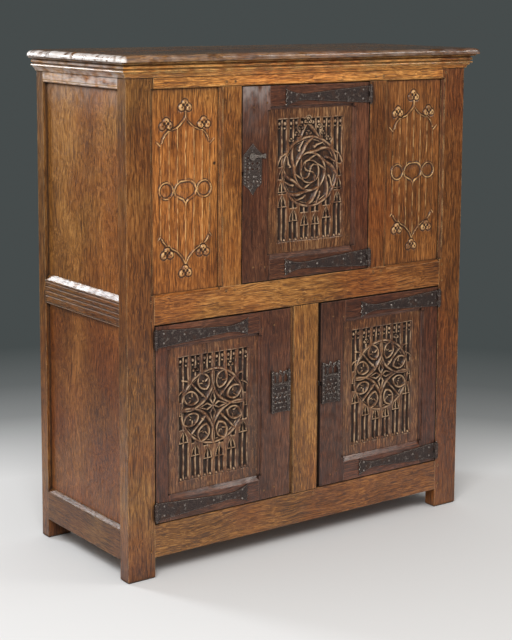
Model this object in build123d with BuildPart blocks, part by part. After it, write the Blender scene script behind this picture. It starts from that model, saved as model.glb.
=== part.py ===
from build123d import *
import os
from collections import namedtuple

# Gothic court cupboard in pegged oak, with three tracery doors on iron strap hinges.
# Millimetres. +Z is up and the front faces -Y. The origin is on the floor, at the
# centre of the footprint.

# ------------------------------------------------------------------ driving dimensions
# The whole piece
overall_height = 1500.0
body_width = 1260.0
body_depth = 508.0

# Top and cornice
top_board_thickness = 20.0
top_overhang = 42.0
front_top_board_width = 277.0
top_edge_chamfer = 4.0
board_joint = 0.4
cornice_height = 44.0
cornice_projection = 26.0

# Stiles, which run down to the floor as feet
front_stile_width = 90.0
front_stile_depth = 43.0
back_stile_width = 80.0
back_stile_depth = 38.0
foot_chamfer = 4.0

# Rails
front_rail_thickness = 36.0
side_rail_thickness = 30.0
back_rail_thickness = 30.0
foot_height = 61.0
bottom_rail_height = 97.0
middle_rail_top = 825.0
middle_rail_height = 87.0
top_rail_height = 76.0

# Muntins
upper_muntin_width = 75.0
lower_muntin_width = 110.0
back_muntin_width = 90.0
fixed_panel_opening = 224.0

# Mortise and tenon joints, pegged
tenon_thickness = 12.0
tenon_setback = 12.0
back_tenon_setback = 7.0
tenon_shoulder = 10.0
long_tenon = 40.0
short_tenon = 26.0
side_tenon_setback = 10.0
door_tenon_thickness = 8.0
door_tenon = 34.0
tenon_clearance = 0.2
tenon_end_room = 1.0
peg_width = 8.0
peg_proud = 1.0
peg_past_tenon = 4.0
rail_peg_inset = 12.0
rail_peg_edge = 18.0
muntin_peg_inset = 13.0
muntin_peg_edge = 22.0

# Panels, held in grooves
panel_thickness = 10.0
front_panel_setback = 12.0
side_panel_setback = 13.0
back_panel_setback = 10.0
groove_depth = 8.0
groove_clearance = 0.2
panel_shrinkage_room = 1.0

# Worked edges of the frame
moulding_width = 10.0
moulding_fillet = 2.0
arris_chamfer = 3.0
front_sill_height = 8.0
front_sill_depth = 9.0
side_sill_height = 15.0
bottom_sill_height = 10.0
reed_count = 4
reed_pitch = 14.0
reed_depth = 2.5
side_bead_height = 6.0

# Folded parchment carving on the fixed panels
fold_half_width = 84.0
fold_pitch = 42.0
fold_relief = 5.0
fold_hollow = 2.5
fold_shoulder_height = 418.0
fold_cusp_height = 463.0
fold_apex_height = 500.0
fold_lower_shoulder = 160.0
fold_lower_cusp = 128.0
fold_lower_apex = 72.0
eyelet_height = 290.0
eyelet_radius = 22.0
eyelet_spacing = 64.0
eyelet_sides = 8
centre_eyelet_width = 76.0
eyelet_depth = 4.0

# Floor boards of the two cupboards
floor_board_thickness = 18.0
floor_board_count = 3
floor_board_bearing = 6.0
floor_board_room = 0.5

# Doors
door_thickness = 26.0
door_side_gap = 4.0
door_end_gap = 3.0
door_panel_opening = 314.0
door_top_rail_height = 70.0
door_bottom_rail_height = 75.0
upper_lock_stile = 99.0
lower_left_lock_stile = 114.0
lower_right_lock_stile = 96.0
door_sill_height = 14.0
door_sill_depth = 8.0
door_stop_height = 8.0
door_stop_room = 0.5

# Carved door panels
door_panel_setback = 9.0
door_panel_thickness = 14.0
door_panel_tongue = 8.0
door_groove_depth = 8.0
carving_margin = 31.0
carving_depth = 7.0
carving_sill = 12.0
tracery_relief = 6.0
tracery_width = 252.0
tracery_height = 366.0
tracery_ring_radius = 108.0
tracery_ring_centre = 208.0
tracery_bar = 5.0
tracery_rib = 6.0
lancet_pitch = 21.0
lancet_head_share = 0.9
ogee_rise = 142.0
eye_ring_radius = 58.0
heart_ring_radius = 35.0
boss_radius = 6.0
ring_sides = 32
blade_steps = 3
whirl_counts = (8, 6, 4)
whirl_starts = (83, 4, 30)
whirl_sweeps = (52, 36, 50)
star_waist = 36.0
cusp_radius = 76.0

# Strap hinges
strap_length = 323.0
strap_root_height = 49.0
strap_waist_height = 17.0
strap_tail_height = 51.0
strap_waist_place = 245.0
strap_thickness = 3.0
strap_tail_scallops = 3
strap_scallop_depth = 5.0
barrel_radius = 6.0
hammered_flats = 12
barrel_front_room = 0.3
axis_inset = 2.0
pin_radius = 3.0
pin_clearance = 0.07
knuckle_height = 17.4
knuckle_room = 0.3
knuckle_swing_room = 0.8
pin_end_length = 5.0
leaf_thickness = 2.5
leaf_depth = 30.0
leaf_height = 40.0
leaf_room = 0.2
upper_strap_inset = 36.0
lower_strap_inset = 33.0

# Lock plates and bolts
lock_width = 68.0
lock_height = 126.0
lock_edge_inset = 3.0
lock_rise = 261.0
lock_plate_thickness = 2.0
lock_bar_height = 8.0
lock_bar_rise = 78.0
lock_bar_depth = 7.0
buttress_width = 7.0
buttress_depth = 8.0
piercing_size = 8.0
piercing_pitch = 17.0
crest_point = 16.0
plate_point = 32.0
plate_lap = 3.0
talon_width = 6.0
talon_depth = 5.0
upper_plate_width = 64.0
upper_plate_height = 150.0
upper_plate_rise = 258.0
bolt_length = 52.0
bolt_height = 14.0
bolt_thickness = 7.0
bolt_setback = 10.0
bolt_travel = 12.0
bolt_room = 0.3
bolt_rise = 62.0
bolt_end_inset = 1.0
bolt_mortise_depth = 10.0
bolt_guide_width = 5.0

# Latch of the upper door
latch_rise = 112.0
latch_inset = 34.0
latch_boss_radius = 11.0
latch_lever_length = 46.0
latch_lever_neck = 8.0
latch_lever_tip = 15.0
latch_lever_thickness = 4.0
latch_spindle_width = 5.6
latch_spindle_clearance = 0.1
latch_room = 0.3
latch_hub_radius = 9.0
latch_tongue_length = 62.0
latch_tongue_width = 14.0
latch_tongue_thickness = 5.0
latch_clearance_behind_frame = 2.5

# ------------------------------------------------------------------------ derived places
front_y = (top_overhang - body_depth) / 2
back_y = (top_overhang + body_depth) / 2
half_width = body_width / 2
frame_top = overall_height - top_board_thickness
bottom_rail_top = foot_height + bottom_rail_height
middle_rail_bottom = middle_rail_top - middle_rail_height
top_rail_bottom = frame_top - top_rail_height
stile_inner_x = half_width - front_stile_width
back_stile_inner_x = half_width - back_stile_width
upper_muntin_outer_x = stile_inner_x - fixed_panel_opening
upper_muntin_inner_x = upper_muntin_outer_x - upper_muntin_width
lower_muntin_half = lower_muntin_width / 2
side_front_y = front_y + front_stile_depth
side_back_y = back_y - back_stile_depth
lower_z = (bottom_rail_top, middle_rail_bottom)
upper_z = (middle_rail_top, top_rail_bottom)
rail_levels = {
    "bottom": (foot_height, bottom_rail_top),
    "middle": (middle_rail_bottom, middle_rail_top),
    "top": (top_rail_bottom, frame_top),
}
side_names = {-1: "left", 1: "right"}

# Vertical plane of the front face: local x is X, local y is Z, and the normal faces out.
face_plane = Plane.XZ.offset(-front_y)

os.makedirs("parts", exist_ok=True)


def save(builder, name):
    builder.part.label = name
    export_step(builder.part, f"parts/{name}.step")


def block(x, y, z, mode=Mode.ADD):
    """A squared piece of timber, or a squared cut, between pairs of coordinates."""
    with Locations((sum(x) / 2, sum(y) / 2, sum(z) / 2)):
        Box(abs(x[1] - x[0]), abs(y[1] - y[0]), abs(z[1] - z[0]), mode=mode)


def grown(pair, amount):
    return (min(pair) - amount, max(pair) + amount)


# --------------------------------------------------------- mortise and tenon joints, pegs
# run is the axis along the tenon, slot the axis through its thickness and width the third.
# out points from the joint towards the face that the front frame's pegs are driven from.
TenonJoint = namedtuple("TenonJoint", "post rail run shoulder toward length slot out face width pegs")
axis_index = {"X": 0, "Y": 1, "Z": 2}


def tenon_axes(joint):
    run, slot = axis_index[joint.run[0]], axis_index[joint.slot[0]]
    return run, slot, 3 - run - slot


def tenon_box(joint, clearance=0.0, end_room=0.0):
    """Ranges of the tenon along X, Y and Z; with clearances, those of its mortise."""
    run, slot, width = tenon_axes(joint)
    box = [None, None, None]
    box[run] = (joint.shoulder, joint.shoulder + joint.toward * (joint.length + end_room))
    box[slot] = grown(joint.slot[1], clearance)
    box[width] = grown(joint.width, clearance)
    return box


def cut_tenon(joint):
    block(*tenon_box(joint))
    cut_peg_holes(joint)


def cut_mortise(joint):
    block(*tenon_box(joint, tenon_clearance, tenon_end_room), mode=Mode.SUBTRACT)
    cut_peg_holes(joint)


def peg_shape(joint, place, mode):
    """A six-sided prism through the joint, from above the face to past the tenon.

    The pegs that the cornice covers are cut off flush.
    """
    run, slot, width = tenon_axes(joint)
    height = place[0] if joint.run[0] == "Z" else place[1]
    covered = height > frame_top - cornice_height
    from_face = 0.0 if covered else peg_proud
    start = [0.0, 0.0, 0.0]
    start[run], start[width] = place
    start[slot] = joint.face + joint.out * from_face
    normal = [0.0, 0.0, 0.0]
    normal[slot] = -joint.out
    far_side = max(abs(edge - joint.face) for edge in joint.slot[1]) + peg_past_tenon
    with BuildSketch(Plane(origin=start, z_dir=normal)) as section:
        RegularPolygon(peg_width / 2, 6)
    extrude(section.sketch, amount=far_side + from_face, mode=mode)


def cut_peg_holes(joint):
    for place in joint.pegs:
        peg_shape(joint, place, Mode.SUBTRACT)


def rail_joint(post, rail, run, shoulder, toward, length, slot, out, face, rail_z):
    """A rail's tenon in an upright; in the front frame two pegs, one above the other."""
    width = (rail_z[0] + tenon_shoulder, rail_z[1] - tenon_shoulder)
    peg_run = shoulder + toward * rail_peg_inset
    pegs = [(peg_run, rail_z[0] + rail_peg_edge), (peg_run, rail_z[1] - rail_peg_edge)]
    pegs = pegs if face == front_y else []
    return TenonJoint(post, rail, (run,), shoulder, toward, length, slot, out, face, width, pegs)


def muntin_joint(post, rail, shoulder, toward, slot, out, face, centre_x, muntin_width):
    """A muntin's tenon in a rail; in the front frame two pegs side by side."""
    edges = (centre_x - muntin_width / 2, centre_x + muntin_width / 2)
    width = grown(edges, -tenon_shoulder)
    peg_run = shoulder + toward * muntin_peg_inset
    pegs = [(peg_run, place) for place in grown(edges, -muntin_peg_edge)] if face == front_y else []
    return TenonJoint(post, rail, ("Z",), shoulder, toward, short_tenon, slot, out, face, width, pegs)


front_slot = ("Y", (front_y + tenon_setback, front_y + tenon_setback + tenon_thickness))
back_slot = ("Y", (back_y - back_tenon_setback - tenon_thickness, back_y - back_tenon_setback))

joints = []
for level, rail_z in rail_levels.items():
    for side, side_name in side_names.items():
        joints.append(rail_joint(f"front_{side_name}_stile", f"front_{level}_rail", "X",
                                 side * stile_inner_x, side, long_tenon, front_slot, -1, front_y, rail_z))
        joints.append(rail_joint(f"back_{side_name}_stile", f"back_{level}_rail", "X",
                                 side * back_stile_inner_x, side, long_tenon, back_slot, 1, back_y, rail_z))
        slot_edges = (side * (half_width - side_tenon_setback),
                      side * (half_width - side_tenon_setback - tenon_thickness))
        side_slot = ("X", (min(slot_edges), max(slot_edges)))
        for end_name, shoulder, toward in (("front", side_front_y, -1), ("back", side_back_y, 1)):
            joints.append(rail_joint(f"{end_name}_{side_name}_stile", f"{side_name}_{level}_rail", "Y",
                                     shoulder, toward, short_tenon, side_slot, side,
                                     side * half_width, rail_z))

upper_muntin_centre = (upper_muntin_outer_x + upper_muntin_inner_x) / 2
front_muntins = {
    "upper_left_muntin": (-upper_muntin_centre, upper_muntin_width, upper_z, "middle", "top"),
    "upper_right_muntin": (upper_muntin_centre, upper_muntin_width, upper_z, "middle", "top"),
    "lower_muntin": (0.0, lower_muntin_width, lower_z, "bottom", "middle"),
}
back_muntin_levels = {"lower": (lower_z, "bottom", "middle"), "upper": (upper_z, "middle", "top")}
for name, (centre_x, width, span_z, below, above) in front_muntins.items():
    joints.append(muntin_joint(f"front_{below}_rail", name, span_z[0], -1, front_slot, -1, front_y,
                               centre_x, width))
    joints.append(muntin_joint(f"front_{above}_rail", name, span_z[1], 1, front_slot, -1, front_y,
                               centre_x, width))
for level, (span_z, below, above) in back_muntin_levels.items():
    joints.append(muntin_joint(f"back_{below}_rail", f"back_{level}_muntin", span_z[0], -1,
                               back_slot, 1, back_y, 0.0, back_muntin_width))
    joints.append(muntin_joint(f"back_{above}_rail", f"back_{level}_muntin", span_z[1], 1,
                               back_slot, 1, back_y, 0.0, back_muntin_width))


def cut_joints(name):
    """Tenons of the joints in which this piece is the rail, mortises where it is the post."""
    for joint in joints:
        if joint.rail == name:
            cut_tenon(joint)
        if joint.post == name:
            cut_mortise(joint)


# ------------------------------------------------------------------------- worked edges
def arris_plane(start, across, into):
    """A plane square to an edge: local x runs across the face, local y into the wood."""
    across, into = Vector(*across), Vector(*into)
    return Plane(origin=start, x_dir=across, z_dir=across.cross(into))


def cut_along(start, end, across, into, section):
    """Cut a section along the edge from start to end."""
    plane = arris_plane(start, across, into)
    with BuildSketch(plane) as cut:
        add(section)
    extrude(cut.sketch, amount=(Vector(*end) - Vector(*start)).dot(plane.z_dir), mode=Mode.SUBTRACT)


def chamfer_section(width, depth):
    with BuildSketch() as section:
        with BuildLine():
            Polyline((0, 0), (width, 0), (0, depth), close=True)
        make_face()
    return section.sketch


# A cavetto between two small fillets, worked along the inner edges of panel openings.
cavetto_radius = moulding_width - 2 * moulding_fillet
cavetto_end = moulding_fillet + cavetto_radius
cavetto_middle = moulding_fillet + cavetto_radius * 0.5**0.5
with BuildSketch() as moulding_section:
    with BuildLine():
        Polyline((moulding_fillet, cavetto_end), (0, cavetto_end), (0, 0), (moulding_width, 0),
                 (moulding_width, moulding_fillet), (cavetto_end, moulding_fillet))
        ThreePointArc((cavetto_end, moulding_fillet), (cavetto_middle, cavetto_middle),
                      (moulding_fillet, cavetto_end))
    make_face()
moulding = moulding_section.sketch


def groove(x, y, z):
    block(x, y, z, mode=Mode.SUBTRACT)


front_groove_y = grown((front_y + front_panel_setback,
                        front_y + front_panel_setback + panel_thickness), groove_clearance)
back_groove_y = grown((back_y - back_panel_setback - panel_thickness,
                       back_y - back_panel_setback), groove_clearance)


def side_groove_x(side):
    outer = side * (half_width - side_panel_setback)
    return grown((outer, outer - side * panel_thickness), groove_clearance)


# ------------------------------------------------------------------------- door layout
# side is +1 where the door hangs on its right and -1 where it hangs on its left.
Door = namedtuple("Door", "name side opening_x opening_z lock_stile_width")
doors = [
    Door("upper_door", 1, (-upper_muntin_inner_x, upper_muntin_inner_x), upper_z, upper_lock_stile),
    Door("lower_left_door", -1, (-stile_inner_x, -lower_muntin_half), lower_z, lower_left_lock_stile),
    Door("lower_right_door", 1, (lower_muntin_half, stile_inner_x), lower_z, lower_right_lock_stile),
]


def hinge_jamb(door):
    return door.opening_x[1] if door.side > 0 else door.opening_x[0]


def lock_jamb(door):
    return door.opening_x[0] if door.side > 0 else door.opening_x[1]


def door_z(door):
    return (door.opening_z[0] + door_end_gap, door.opening_z[1] - door_end_gap)


def hinge_axis(door):
    return hinge_jamb(door) - door.side * axis_inset, front_y - barrel_front_room - barrel_radius


def strap_levels(door):
    low, high = door_z(door)
    return (low + lower_strap_inset, high - upper_strap_inset)


def lock_edge_x(door):
    return lock_jamb(door) + door.side * door_side_gap


def lock_plate_size(door):
    if door.name == "upper_door":
        return upper_plate_width, upper_plate_height
    return lock_width, lock_height


def lock_plate_foot(door):
    return door_z(door)[0] + (upper_plate_rise if door.name == "upper_door" else lock_rise)


def bolt_level(door):
    return lock_plate_foot(door) + bolt_rise


def cut_hinge_leaves(door):
    """Shallow seats for the fixed leaves in the edge of the stile or muntin."""
    jamb = hinge_jamb(door)
    seat_x = (jamb, jamb + door.side * (leaf_thickness + leaf_room))
    for level in strap_levels(door):
        block(seat_x, (front_y - leaf_room, front_y + leaf_depth + leaf_room),
              grown((level, level), knuckle_height / 2 + leaf_room), mode=Mode.SUBTRACT)
        block(seat_x, (front_y + leaf_thickness, front_y + leaf_depth + leaf_room),
              grown((level, level), leaf_height / 2 + leaf_room), mode=Mode.SUBTRACT)


def cut_bolt_mortise(door):
    """The hole that the lock bolt shoots into."""
    jamb = lock_jamb(door)
    level = bolt_level(door)
    block((jamb, jamb - door.side * bolt_mortise_depth),
          grown((front_y + bolt_setback, front_y + bolt_setback + bolt_thickness), 2 * bolt_room),
          grown((level, level), bolt_height / 2 + 2 * bolt_room), mode=Mode.SUBTRACT)


upper_door, lower_left_door, lower_right_door = doors

# ------------------------------------------------------------------------------ stiles
for side, side_name in side_names.items():
    outer_x, inner_x = side * half_width, side * stile_inner_x
    name = f"front_{side_name}_stile"
    with BuildPart() as front_stile:
        with BuildSketch(Plane.XY):
            with Locations(((outer_x + inner_x) / 2, front_y + front_stile_depth / 2)):
                Rectangle(front_stile_width, front_stile_depth)
        extrude(amount=frame_top)
        chamfer(front_stile.faces().sort_by(Axis.Z)[0].edges(), foot_chamfer)
        cut_along((inner_x, front_y, upper_z[0]), (inner_x, front_y, upper_z[1]),
                  (side, 0, 0), (0, 1, 0), moulding)
        groove((inner_x, inner_x + side * groove_depth), front_groove_y, grown(upper_z, groove_depth))
        for opening_z in (lower_z, upper_z):
            groove(side_groove_x(side), (side_front_y - groove_depth, side_front_y),
                   grown(opening_z, groove_depth))
        cut_joints(name)
        cut_hinge_leaves(lower_left_door if side < 0 else lower_right_door)
    save(front_stile, name)

    inner_x = side * back_stile_inner_x
    name = f"back_{side_name}_stile"
    with BuildPart() as back_stile:
        with BuildSketch(Plane.XY):
            with Locations(((outer_x + inner_x) / 2, back_y - back_stile_depth / 2)):
                Rectangle(back_stile_width, back_stile_depth)
        extrude(amount=frame_top)
        chamfer(back_stile.faces().sort_by(Axis.Z)[0].edges(), foot_chamfer)
        for opening_z in (lower_z, upper_z):
            groove((inner_x, inner_x + side * groove_depth), back_groove_y, grown(opening_z, groove_depth))
            groove(side_groove_x(side), (side_back_y, side_back_y + groove_depth),
                   grown(opening_z, groove_depth))
        cut_joints(name)
    save(back_stile, name)

# ------------------------------------------------------------------------- front rails
front_rail_y = (front_y, front_y + front_rail_thickness)
fixed_openings_x = {
    "left": (-stile_inner_x, -upper_muntin_outer_x),
    "right": (upper_muntin_outer_x, stile_inner_x),
}
door_stop_y = (front_y + door_thickness + door_stop_room, front_y + front_rail_thickness)


def cut_floor_rebate(x, y, floor_top, open_to):
    """The ledge along a rail's inner top edge on which floor boards lie."""
    block(x, y, (floor_top - floor_board_thickness, open_to), mode=Mode.SUBTRACT)


for level, rail_z in rail_levels.items():
    name = f"front_{level}_rail"
    with BuildPart() as front_rail:
        with BuildSketch(Plane.YZ.offset(-stile_inner_x)):
            with Locations((sum(front_rail_y) / 2, sum(rail_z) / 2)):
                Rectangle(front_rail_thickness, rail_z[1] - rail_z[0])
        extrude(amount=2 * stile_inner_x)
        if level != "bottom":
            cut_along((-stile_inner_x, front_y, rail_z[0]), (stile_inner_x, front_y, rail_z[0]),
                      (0, 0, 1), (0, 1, 0), chamfer_section(arris_chamfer, arris_chamfer))
        if level == "bottom":
            cut_along((-stile_inner_x, front_y, rail_z[1]), (stile_inner_x, front_y, rail_z[1]),
                      (0, 0, -1), (0, 1, 0), chamfer_section(arris_chamfer, arris_chamfer))
        if level != "top":
            cut_floor_rebate((-stile_inner_x, stile_inner_x),
                             (front_rail_y[1] - floor_board_bearing, front_rail_y[1]),
                             rail_z[1], rail_z[1])
        for opening_x in fixed_openings_x.values():
            panel_groove_x = grown(opening_x, groove_depth)
            if level == "middle":
                cut_along((opening_x[0], front_y, rail_z[1]), (opening_x[1], front_y, rail_z[1]),
                          (0, 0, -1), (0, 1, 0), chamfer_section(front_sill_height, front_sill_depth))
                groove(panel_groove_x, front_groove_y, (rail_z[1] - groove_depth, rail_z[1]))
            if level == "top":
                groove(panel_groove_x, front_groove_y, (rail_z[0], rail_z[0] + groove_depth))
        for door in doors:
            if door.opening_z[1] == rail_z[0]:
                block(door.opening_x, door_stop_y, (rail_z[0] - door_stop_height, rail_z[0]))
        cut_joints(name)
    save(front_rail, name)

# ----------------------------------------------------------------------- front muntins
for name, (centre_x, width, span_z, below, above) in front_muntins.items():
    edges_x = {-1: centre_x - width / 2, 1: centre_x + width / 2}
    with BuildPart() as muntin:
        with BuildSketch(Plane.XY.offset(span_z[0])):
            with Locations((centre_x, sum(front_rail_y) / 2)):
                Rectangle(width, front_rail_thickness)
        extrude(amount=span_z[1] - span_z[0])
        for edge, edge_x in edges_x.items():
            beside_panel = name != "lower_muntin" and edge * centre_x > 0
            if beside_panel or name == "lower_muntin":
                cut_along((edge_x, front_y, span_z[0]), (edge_x, front_y, span_z[1]),
                          (-edge, 0, 0), (0, 1, 0), moulding)
            if beside_panel:
                groove((edge_x, edge_x - edge * groove_depth), front_groove_y, span_z)
        for door in doors:
            if hinge_jamb(door) in edges_x.values() and door.opening_z == span_z:
                cut_hinge_leaves(door)
            if lock_jamb(door) in edges_x.values() and door.opening_z == span_z:
                cut_bolt_mortise(door)
        cut_joints(name)
    save(muntin, name)


# -------------------------------------------------------------------------- side rails
def side_profile_plane(side):
    """Local x runs in from the side's face, local y up; the plane stands at the front stile."""
    return Plane(origin=(side * half_width, side_front_y, 0), x_dir=(-side, 0, 0), z_dir=(0, side, 0))


def side_rail_profile(level, rail_z):
    """Cross-section of a side rail, which carries the side's horizontal mouldings."""
    low, high = rail_z
    inner = side_rail_thickness
    setback = side_panel_setback - groove_clearance
    if level == "top":
        bead = low + side_bead_height
        return [(0, high), (0, bead + 2), (1.5, bead + 1), (0, bead), (0, low + 2), (2, low), (inner, low),
                (inner, high)]
    if level == "bottom":
        sill_foot = high - bottom_sill_height
        return [(setback, high), (1.5, sill_foot), (0, sill_foot), (0, low), (inner, low), (inner, high)]
    sill_foot = high - side_sill_height
    outline = [(setback, high), (2, sill_foot), (0, sill_foot)]
    reed_top = sill_foot - reed_depth
    for reed in range(reed_count):
        reed_z = reed_top - reed * reed_pitch
        outline += [(0, reed_z), (reed_depth, reed_z - reed_depth), (0, reed_z - 2 * reed_depth)]
    outline += [(0, low + side_bead_height), (reed_depth, low + side_bead_height - 1), (0, low + 3),
                (0, low + 2), (2, low), (inner, low), (inner, high)]
    return outline


side_length = side_back_y - side_front_y
for side, side_name in side_names.items():
    inner_face = side * (half_width - side_rail_thickness)
    rebate_x = (inner_face, inner_face + side * floor_board_bearing)
    for level, rail_z in rail_levels.items():
        name = f"{side_name}_{level}_rail"
        with BuildPart() as side_rail:
            with BuildSketch(side_profile_plane(side)):
                with BuildLine():
                    Polyline(*side_rail_profile(level, rail_z), close=True)
                make_face()
            extrude(amount=side * side_length)
            if level != "top":
                cut_floor_rebate(rebate_x, (side_front_y, side_back_y), rail_z[1], rail_z[1])
                groove(side_groove_x(side), (side_front_y, side_back_y),
                       (rail_z[1] - groove_depth, rail_z[1]))
            if level != "bottom":
                groove(side_groove_x(side), (side_front_y, side_back_y),
                       (rail_z[0], rail_z[0] + groove_depth))
            cut_joints(name)
        save(side_rail, name)

# ------------------------------------------------------------------- back rails, muntins
back_rail_y = (back_y - back_rail_thickness, back_y)
back_groove_x = ((-back_stile_inner_x, -back_muntin_width / 2), (back_muntin_width / 2, back_stile_inner_x))
for level, rail_z in rail_levels.items():
    name = f"back_{level}_rail"
    with BuildPart() as back_rail:
        with BuildSketch(Plane.YZ.offset(-back_stile_inner_x)):
            with Locations((sum(back_rail_y) / 2, sum(rail_z) / 2)):
                Rectangle(back_rail_thickness, rail_z[1] - rail_z[0])
        extrude(amount=2 * back_stile_inner_x)
        for opening_x in back_groove_x:
            if level != "top":
                groove(grown(opening_x, groove_depth), back_groove_y, (rail_z[1] - groove_depth, rail_z[1]))
            if level != "bottom":
                groove(grown(opening_x, groove_depth), back_groove_y, (rail_z[0], rail_z[0] + groove_depth))
        if level != "top":
            cut_floor_rebate((-back_stile_inner_x, back_stile_inner_x),
                             (back_rail_y[0], back_rail_y[0] + floor_board_bearing), rail_z[1], rail_z[1])
        cut_joints(name)
    save(back_rail, name)

with BuildPart() as back_muntins:
    for level, (span_z, below, above) in back_muntin_levels.items():
        half = back_muntin_width / 2
        block((-half, half), back_rail_y, span_z)
        for edge in (-1, 1):
            groove((edge * half, edge * (half - groove_depth)), back_groove_y, span_z)
        cut_joints(f"back_{level}_muntin")
save(back_muntins, "back_muntins")

# ------------------------------------------------------------------------ plain panels
tongue = groove_depth - panel_shrinkage_room


def seated(pair):
    """A panel's height: it stands on the groove's floor, with room above."""
    return (pair[0] - groove_depth, pair[1] + tongue)


for side, side_name in side_names.items():
    face_x = side * (half_width - side_panel_setback)
    with BuildPart() as side_panels:
        for opening_z in (lower_z, upper_z):
            block((face_x, face_x - side * panel_thickness),
                  grown((side_front_y, side_back_y), tongue), seated(opening_z))
    save(side_panels, f"{side_name}_side_panels")

with BuildPart() as back_panels:
    for opening_x in back_groove_x:
        for opening_z in (lower_z, upper_z):
            block(grown(opening_x, tongue),
                  (back_y - back_panel_setback - panel_thickness, back_y - back_panel_setback),
                  seated(opening_z))
save(back_panels, "back_panels")

# ------------------------------------------------------------- folded parchment panels
fold_face_y = front_y + front_panel_setback - fold_relief


# The parchment's edge: an ogee above and an inverted ogee below, both cusped.
with BuildSketch() as parchment_outline:
    half = fold_half_width
    with BuildLine():
        for edge in (-1, 1):
            cusp = (edge * half * 0.54, fold_cusp_height)
            ThreePointArc((edge * half, fold_shoulder_height),
                          (edge * half * 0.88, fold_cusp_height - 16), cusp)
            ThreePointArc(cusp, (edge * half * 0.22, fold_cusp_height + 12), (0, fold_apex_height))
            Line((edge * half, fold_shoulder_height), (edge * half, fold_lower_shoulder))
            low_cusp = (edge * half * 0.66, fold_lower_cusp)
            ThreePointArc((edge * half, fold_lower_shoulder), (edge * half * 0.9, fold_lower_cusp + 12),
                          low_cusp)
            ThreePointArc(low_cusp, (edge * half * 0.25, fold_lower_apex + 32), (0, fold_lower_apex))
    make_face()

for side_name, opening_x in fixed_openings_x.items():
    centre_x = sum(opening_x) / 2
    panel_base = upper_z[0]
    with BuildPart() as folds:
        with BuildSketch(Plane.XY.offset(panel_base + fold_lower_apex)):
            with BuildLine():
                Polyline((centre_x - fold_half_width, fold_face_y),
                         (centre_x - fold_half_width, fold_face_y + fold_relief),
                         (centre_x + fold_half_width, fold_face_y + fold_relief),
                         (centre_x + fold_half_width, fold_face_y))
                for fold in range(4):
                    ridge_x = centre_x + fold_half_width - fold * fold_pitch
                    ThreePointArc((ridge_x, fold_face_y), (ridge_x - fold_pitch / 2, fold_face_y + fold_hollow),
                                  (ridge_x - fold_pitch, fold_face_y))
            make_face()
        extrude(amount=fold_apex_height - fold_lower_apex)
        with BuildSketch(Plane(origin=(centre_x, front_y, panel_base), x_dir=(1, 0, 0), z_dir=(0, -1, 0))):
            add(parchment_outline.sketch)
        extrude(amount=front_rail_thickness, both=True, mode=Mode.INTERSECT)
    with BuildPart() as parchment_panel:
        block(grown(opening_x, tongue),
              (front_y + front_panel_setback, front_y + front_panel_setback + panel_thickness),
              seated(upper_z))
        add(folds.part)
        with BuildSketch(Plane(origin=(centre_x, fold_face_y, panel_base + eyelet_height),
                               x_dir=(1, 0, 0), z_dir=(0, -1, 0))):
            with Locations((-eyelet_spacing, 0), (eyelet_spacing, 0)):
                RegularPolygon(eyelet_radius, eyelet_sides)
            with BuildLine():
                Polyline((-centre_eyelet_width / 2, eyelet_radius / 2),
                         (-centre_eyelet_width / 4, eyelet_radius),
                         (centre_eyelet_width / 4, eyelet_radius),
                         (centre_eyelet_width / 2, eyelet_radius / 2),
                         (centre_eyelet_width / 4, -eyelet_radius / 2), (0, -eyelet_radius * 1.5),
                         (-centre_eyelet_width / 4, -eyelet_radius / 2), close=True)
            make_face()
        extrude(amount=-(eyelet_depth), mode=Mode.SUBTRACT)
    save(parchment_panel, f"{side_name}_parchment_panel")

# ------------------------------------------------------------------------- floor boards
floor_x = half_width - side_rail_thickness + floor_board_bearing
floor_y = (front_y + front_rail_thickness - floor_board_bearing,
           back_y - back_rail_thickness + floor_board_bearing)
floor_board_width = (floor_y[1] - floor_y[0] - (floor_board_count - 1) * board_joint) / floor_board_count
for name, floor_top in (("lower_floor_boards", bottom_rail_top), ("upper_floor_boards", middle_rail_top)):
    floor_z = (floor_top - floor_board_thickness, floor_top)
    with BuildPart() as floor_boards:
        for board in range(floor_board_count):
            board_y = floor_y[0] + board * (floor_board_width + board_joint)
            block((-floor_x, floor_x), (board_y, board_y + floor_board_width), floor_z)
        for side in (-1, 1):
            block((side * (stile_inner_x - floor_board_room), side * half_width),
                  (front_y, side_front_y + floor_board_room), floor_z, mode=Mode.SUBTRACT)
            block((side * (back_stile_inner_x - floor_board_room), side * half_width),
                  (side_back_y - floor_board_room, back_y), floor_z, mode=Mode.SUBTRACT)
    save(floor_boards, name)

# --------------------------------------------------------------------------- top boards
top_x = half_width + top_overhang
top_front_y = front_y - top_overhang
with BuildPart() as top_boards:
    block((-top_x, top_x), (top_front_y, top_front_y + front_top_board_width),
          (frame_top, overall_height))
    block((-top_x, top_x), (top_front_y + front_top_board_width + board_joint, back_y),
          (frame_top, overall_height))
    worn = (top_boards.edges().filter_by(Axis.X).group_by(Axis.Y)[0]
            + top_boards.edges().filter_by(Axis.Y).group_by(Axis.X)[0]
            + top_boards.edges().filter_by(Axis.Y).group_by(Axis.X)[-1])
    chamfer(worn, top_edge_chamfer)
save(top_boards, "top_boards")

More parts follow.
